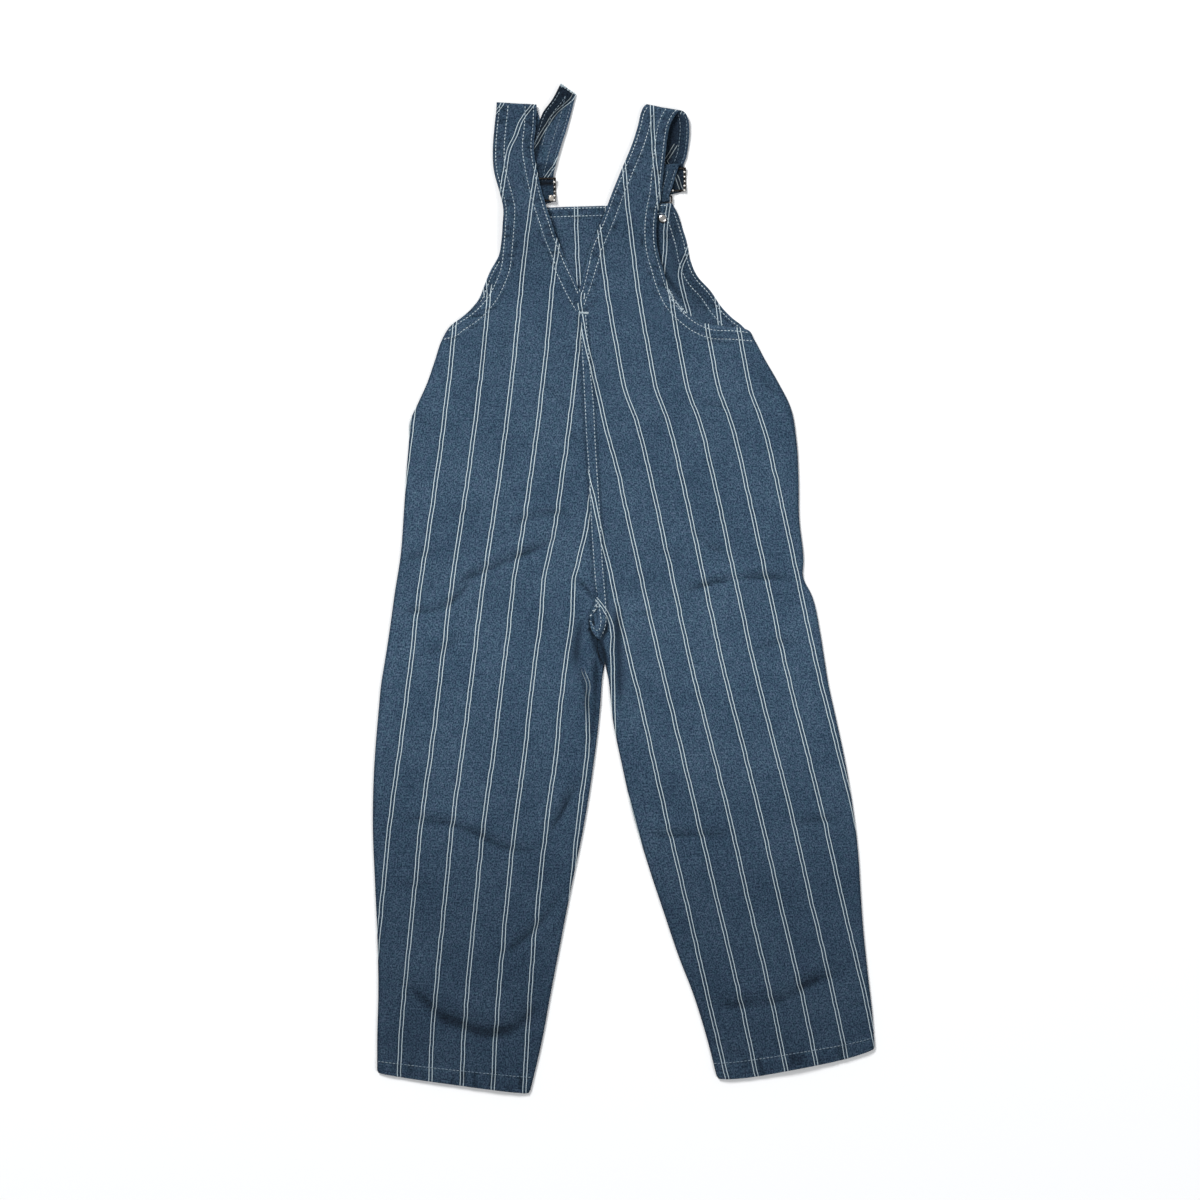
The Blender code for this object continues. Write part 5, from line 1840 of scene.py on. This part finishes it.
@dataclass
class SlideBeads:
    """The beads pressed into both rails of a strap slide, joined into one mesh, pale and with
    painted highlights.

    inset is how far inside the rails' middle they lie, and first how far above the lower end
    the first one is.  corner is the place of a bright corner that shows beside the strap.
    """

    name: str
    middle: Point
    rail_z: float
    radius: float = 1.0
    shape: Triple = (1.05, 0.9, 0.7)
    pitch: float = 4.1
    inset: float = 0.6
    first: float = 1.1
    corner: Point = ()
    corner_shape: Triple = (2.3, 2.8, 0.4)

    def build(self, material: Material) -> Object:
        """Build the beads.

        Args:
            material: the metal.

        Returns:
            The finished object.
        """
        deselect_all()
        bpy.ops.mesh.primitive_uv_sphere_add(segments=10, ring_count=6, radius=self.radius * MM)
        bead = bpy.context.object
        bead.name = self.name
        places = []
        for side in (-1, 1):
            x = self.middle[0] + side * ((SLIDE_WIDTH - SLIDE_BAR) / 2 - self.inset)
            for y in np.arange(-SLIDE_HEIGHT / 2 + self.first, SLIDE_HEIGHT / 2, self.pitch):
                places.append((x, self.middle[1] + y))
        places.append((self.middle[0] + 2, self.middle[1] - (SLIDE_HEIGHT - SLIDE_BAR) / 2))
        beads = [bead]
        for _ in places[1:]:
            copy = bead.copy()
            copy.data = bead.data.copy()
            bpy.context.scene.collection.objects.link(copy)
            beads.append(copy)
        slope = SLIDE_HEIGHT / 2 - 1.5 * SLIDE_BAR
        for each, (x, y) in zip(beads, places):
            outside = smooth_step((abs(y - self.middle[1]) - SLIDE_BAR / 2) / slope)
            z = SLIDE_BAR_Z + (self.rail_z - SLIDE_BAR_Z) * outside + SLIDE_PLATE / 2
            each.location = (x * MM, y * MM, z * MM)
            each.scale = self.shape
            each.select_set(True)
            # every bead but the corner one carries a full painted highlight
            bright = 0.0 if self.corner and each is beads[-1] else 1.0
            painted_highlight = each.data.attributes.new("painted_highlight", "FLOAT", "POINT")
            painted_highlight.data.foreach_set("value", [bright] * len(each.data.vertices))
        if self.corner:
            beads[-1].location = [value * MM for value in self.corner]
            beads[-1].scale = self.corner_shape
        bpy.context.view_layer.objects.active = bead
        bpy.ops.object.join()
        bpy.ops.object.transform_apply(location=True, rotation=True, scale=True)
        bead.data.shade_smooth()
        bead.data.materials.clear()
        bead.data.materials.append(material)
        bead.select_set(False)
        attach(bead, BODY)
        LOG.info("%s: %d beads", self.name, len(places))
        return bead


# ---------------- the studio


@dataclass
class Studio:
    """The pale floor, the soft lights and the camera straight above."""

    centre: tuple[float, float] = (-21.6 * MM, -9.9 * MM)
    view_width: float = 1.08
    camera_height: float = 3.0
    sensor: float = 36.0

    def build(self, floor_material: Material) -> None:
        """Set the floor, lights and camera.

        Args:
            floor_material: the floor's paper.
        """
        deselect_all()
        bpy.ops.mesh.primitive_plane_add(size=8.0, location=(0, 0, -0.0002))
        floor = bpy.context.object
        floor.name = "floor"
        floor.data.materials.append(floor_material)
        bpy.ops.object.transform_apply(location=True, rotation=False, scale=False)
        self.add_light("key light", (-1.75, 2.7, 2.85), 1.3, 172)
        self.add_light("fill light", (2.6, -1.6, 3.2), 2.0, 62)
        world = bpy.data.worlds.new("studio")
        world.use_nodes = True
        background = world.node_tree.nodes["Background"]
        background.inputs["Color"].default_value = (0.93, 0.96, 1.0, 1)
        background.inputs["Strength"].default_value = 0.34
        bpy.context.scene.world = world
        camera = bpy.data.cameras.new("camera")
        camera.sensor_width = self.sensor
        camera.lens = self.sensor * self.camera_height / self.view_width
        above = bpy.data.objects.new("camera", camera)
        above.location = (*self.centre, self.camera_height)
        bpy.context.scene.collection.objects.link(above)
        bpy.context.scene.camera = above
        bpy.context.scene.view_settings.view_transform = "Standard"

    def add_light(self, name: str, place: Triple, size: float, power: float) -> None:
        """Hang a square soft light that faces the garment.

        Args:
            name: the light's name.
            place: where it hangs, in metres.
            size: its side in metres.
            power: its power in watts.
        """
        data = bpy.data.lights.new(name, "AREA")
        data.shape = "SQUARE"
        data.size = size
        data.energy = power
        light = bpy.data.objects.new(name, data)
        light.location = place
        light.rotation_euler = (-Vector(place)).to_track_quat("-Z", "Y").to_euler()
        bpy.context.scene.collection.objects.link(light)


# ---------------- the garment


class Dungarees:
    """The whole garment."""

    def __init__(self, finishes: Finishes) -> None:
        """Keep the finishes."""
        self.finishes = finishes

    def left_back(self) -> BackPanel:
        """Return the left back and its unfastened strap."""
        fold = half_turn(FOLD_LEFT, FOLD_RIGHT, (0, 1), FOLD_REACH, STRAP_BACK_Z, FRONT_Z)
        before = BACK_LEFT_LEG + BACK_LEFT_SEAT + LEFT_STRAP_BACK
        sections = (
            before
            + fold
            + LEFT_STRAP_FRONT
            + through_slide(LEFT_SLIDE, FRONT_Z, OVER_BAR_Z, upwards=False)
            + LEFT_TO_HOOK
            + round_hook(LEFT_HOOK, LEFT_HOOK_TURN, LEFT_HOOK_Z)
            + LEFT_FROM_HOOK
            + through_slide(LEFT_SLIDE, FRONT_Z + LAYER, OVER_BAR_Z + LAYER, upwards=True)
            + LEFT_STRAP_END
        )
        return BackPanel(
            "left_back", "back_left", sections, LEFT_STRIPES, BACK_Z,
            columns=98, fine_from=FINE_FROM,
            fold_section=len(before) + 4, strap_moves=LEFT_STRAP_MOVES, creases=LEFT_CREASES,
            details=LEFT_CROTCH, corner=HEM_CORNER, seed=1.0, seam_edge=Edge.RIGHT,
            hem_starts=((-158.2, 232.2), (-162.4, 224.4)),
            end_stitches={Edge.RIGHT: 84.0, Edge.LEFT: 56.0}, tail=62.0, shades=LEFT_SHADES,
        )

    def right_back(self) -> BackPanel:
        """Return the right back and its fastened strap."""
        before = BACK_RIGHT_LEG + BACK_RIGHT_SEAT + RIGHT_STRAP_BACK
        sections = (
            before
            + RIGHT_STRAP_TURN
            + through_slide(RIGHT_SLIDE, FRONT_Z, OVER_BAR_Z, upwards=False)
            + RIGHT_TO_HOOK
            + round_hook(RIGHT_HOOK, RIGHT_HOOK_TURN, RIGHT_HOOK_Z, RIGHT_FOLD_REACH)
            + RIGHT_STRAP_END
        )
        return BackPanel(
            "right_back", "back_right", sections, RIGHT_STRIPES, BACK_Z,
            columns=98, fine_from=FINE_FROM,
            fold_section=len(before) + 2, strap_moves=RIGHT_STRAP_MOVES, creases=RIGHT_CREASES,
            details=RIGHT_CROTCH, pull_way=-1.0, corner=HEM_CORNER, seed=4.0, seam_edge=Edge.LEFT,
            hem_starts=((111.8, 230.4), (115.8, 223.0)), end_stitches={Edge.RIGHT: 27.0},
            shades=RIGHT_SHADES,
        )

    def build(self) -> None:
        """Build every piece of the garment."""
        cloth = self.finishes.denim
        fronts = []
        for name, node, sections, stripes, seed in (
            ("left_front", "front_left", FRONT_LEFT, LEFT_STRIPES, 8.0),
            ("right_front", "front_right", FRONT_RIGHT, RIGHT_STRIPES, 9.0),
        ):
            panel = FrontPanel(
                name, node, sections, stripes, FRONT_Z,
                columns=40, spacing=5.0, corner=HEM_CORNER, seed=seed,
            )
            front = panel.build(cloth)
            fronts.append(front)
        bib_panel = BibPanel(
            "bib_panel", "bib", BIB, BIB_STRIPES, FRONT_Z,
            columns=170, spacing=1.6, details=BIB_SHADES, tones=[(0, 0.93)], seed=2.0,
        )
        bib = bib_panel.build(self.finishes.inside)
        bib_stitches = Topstitch("bib_topstitch", bib)
        self.sew_bib(bib_panel, bib_stitches)
        bib_thread = bib_stitches.build(self.finishes.thread)
        left = self.left_back()
        right = self.right_back()
        for panel, under in ((left, fronts[0]), (right, fronts[1])):
            back = panel.build(cloth)
            stitches = Topstitch(panel.name + "_topstitch", back)
            # stitches in the thread with painted shade
            faded = Topstitch(
                panel.name + "_shaded_stitch", back, length=2.7, width=0.62, height=0.5
            )
            faded.sew(panel.grid[int(np.argmax(panel.lengths() > LEG_HEM - 1.2)), :, :2])
            self.sew_back(panel, stitches, faded)
            thread = stitches.build(self.finishes.thread)
            shaded_thread = faded.build(self.finishes.shaded_thread)
        self.dress_metal()

    def sew_back(self, panel: BackPanel, stitches: Topstitch, faded: Topstitch) -> None:
        """Sew one back's topstitching.

        Args:
            panel: the back.
            stitches: where its stitches go.
            faded: where the stitches of the shaded strap ends go, in the thread with painted shade.
        """
        last = panel.fold_row - 1
        for edge in Edge:
            neck = edge is panel.seam_edge
            first = panel.row_at(panel.neck_from if neck else panel.underarm_y + 4, edge)
            for distance, start in zip((EDGE_STITCH, INNER_STITCH), panel.hem_starts):
                line = panel.edge_line(edge, distance, first, last)
                line = np.concatenate([line[:0] if neck else [start], line[:-2:3], line[-1:]])
                stitches.sew(smooth_curve(line, 2.0), EDGE_PITCH)
        if panel.seam_edge is Edge.LEFT:
            for line in (FELL_LEFT, FELL_RIGHT):
                stitches.sew(smooth_curve([(x, y) for y, x in line], 3.0))
        for line in NECK_STITCHES[panel.seam_edge]:
            stitches.sew(smooth_curve(line, 3.0), EDGE_PITCH)
        if panel.seam_edge is Edge.LEFT:
            stitches.bar(*BARTACK)
            for line, count, seed in FRAYED_EDGES:
                stitches.fray(smooth_curve(line, 0.7), count, seed)
            rows = [panel.fold_row + row for row in TURNED_ROWS]
            self.sew_strap(panel, faded, *rows, under=True)
        lengths = panel.lengths()
        for edge, reach in panel.end_stitches.items():
            start = int(np.argmax(lengths > lengths[-1] - reach))
            self.sew_strap(panel, faded, start, len(lengths) - 2, edge=edge)
        if panel.tail > 0:
            stitches.fray(panel.grid[-1, 3:-3, :2] * 0.97 + panel.grid[-6, 3:-3, :2] * 0.03, 40, 11)

    def sew_strap(
        self, panel: BackPanel, stitches: Topstitch, first: int, last: int,
        under: bool = False, edge: Edge = Edge.RIGHT,
    ) -> None:
        """Sew an edge of a stretch of strap that other layers may hide from above.

        Args:
            panel: the strap's back.
            stitches: where the stitches go.
            first, last: the stretch's rows.
            under: whether its lower face is the one that shows.
            edge: the edge.
        """
        for distance in (EDGE_STITCH - 0.4, INNER_STITCH - 1.5):
            share = distance / panel.widths()
            across = 1 - share if edge is Edge.RIGHT else share
            stitches.sew_on_rows(panel, range(first, last), across, under)

    def sew_bib(self, panel: BibPanel, stitches: Topstitch) -> None:
        """Sew the bib's top and armhole edges."""
        top = panel.grid[-1, :, :2]
        for distance in (1.6, 8.6):
            stitches.sew(top[4:-4] - np.array([0.0, distance]), EDGE_PITCH)
        for edge in Edge:
            first = panel.row_at(228.0, edge)
            for distance in (EDGE_STITCH, INNER_STITCH):
                line = panel.edge_line(edge, distance, first, len(panel.rows) - 2)
                stitches.sew(smooth_curve(line[::2], 2.0), EDGE_PITCH)

    def dress_metal(self) -> None:
        """Give the metal nodes their finishes."""
        for name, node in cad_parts.items():
            if name.startswith(("slide", "hook")):
                material = self.finishes.gunmetal
            elif name.startswith(("button", "tack")):
                material = self.finishes.steel
            else:
                continue
            for slot in node.material_slots:
                slot.material = material
        rail_z = SLIDE_BAR_Z + SLIDE_PLATE - 1.0
        left = SlideBeads(
            "slide_left_beads", LEFT_SLIDE, rail_z + 2 * LAYER, corner=(-65.4, 351.4, 3.9)
        )
        for beads in (left, SlideBeads("slide_right_beads", RIGHT_SLIDE, rail_z + LAYER)):
            beads.build(self.finishes.worn)


def main() -> None:
    """Build the studio and the garment."""
    logging.basicConfig(level=logging.INFO, format="%(name)s: %(message)s")
    finishes = Finishes()
    Studio().build(finishes.floor)
    Dungarees(finishes).build()


if __name__ == "__main__":
    main()
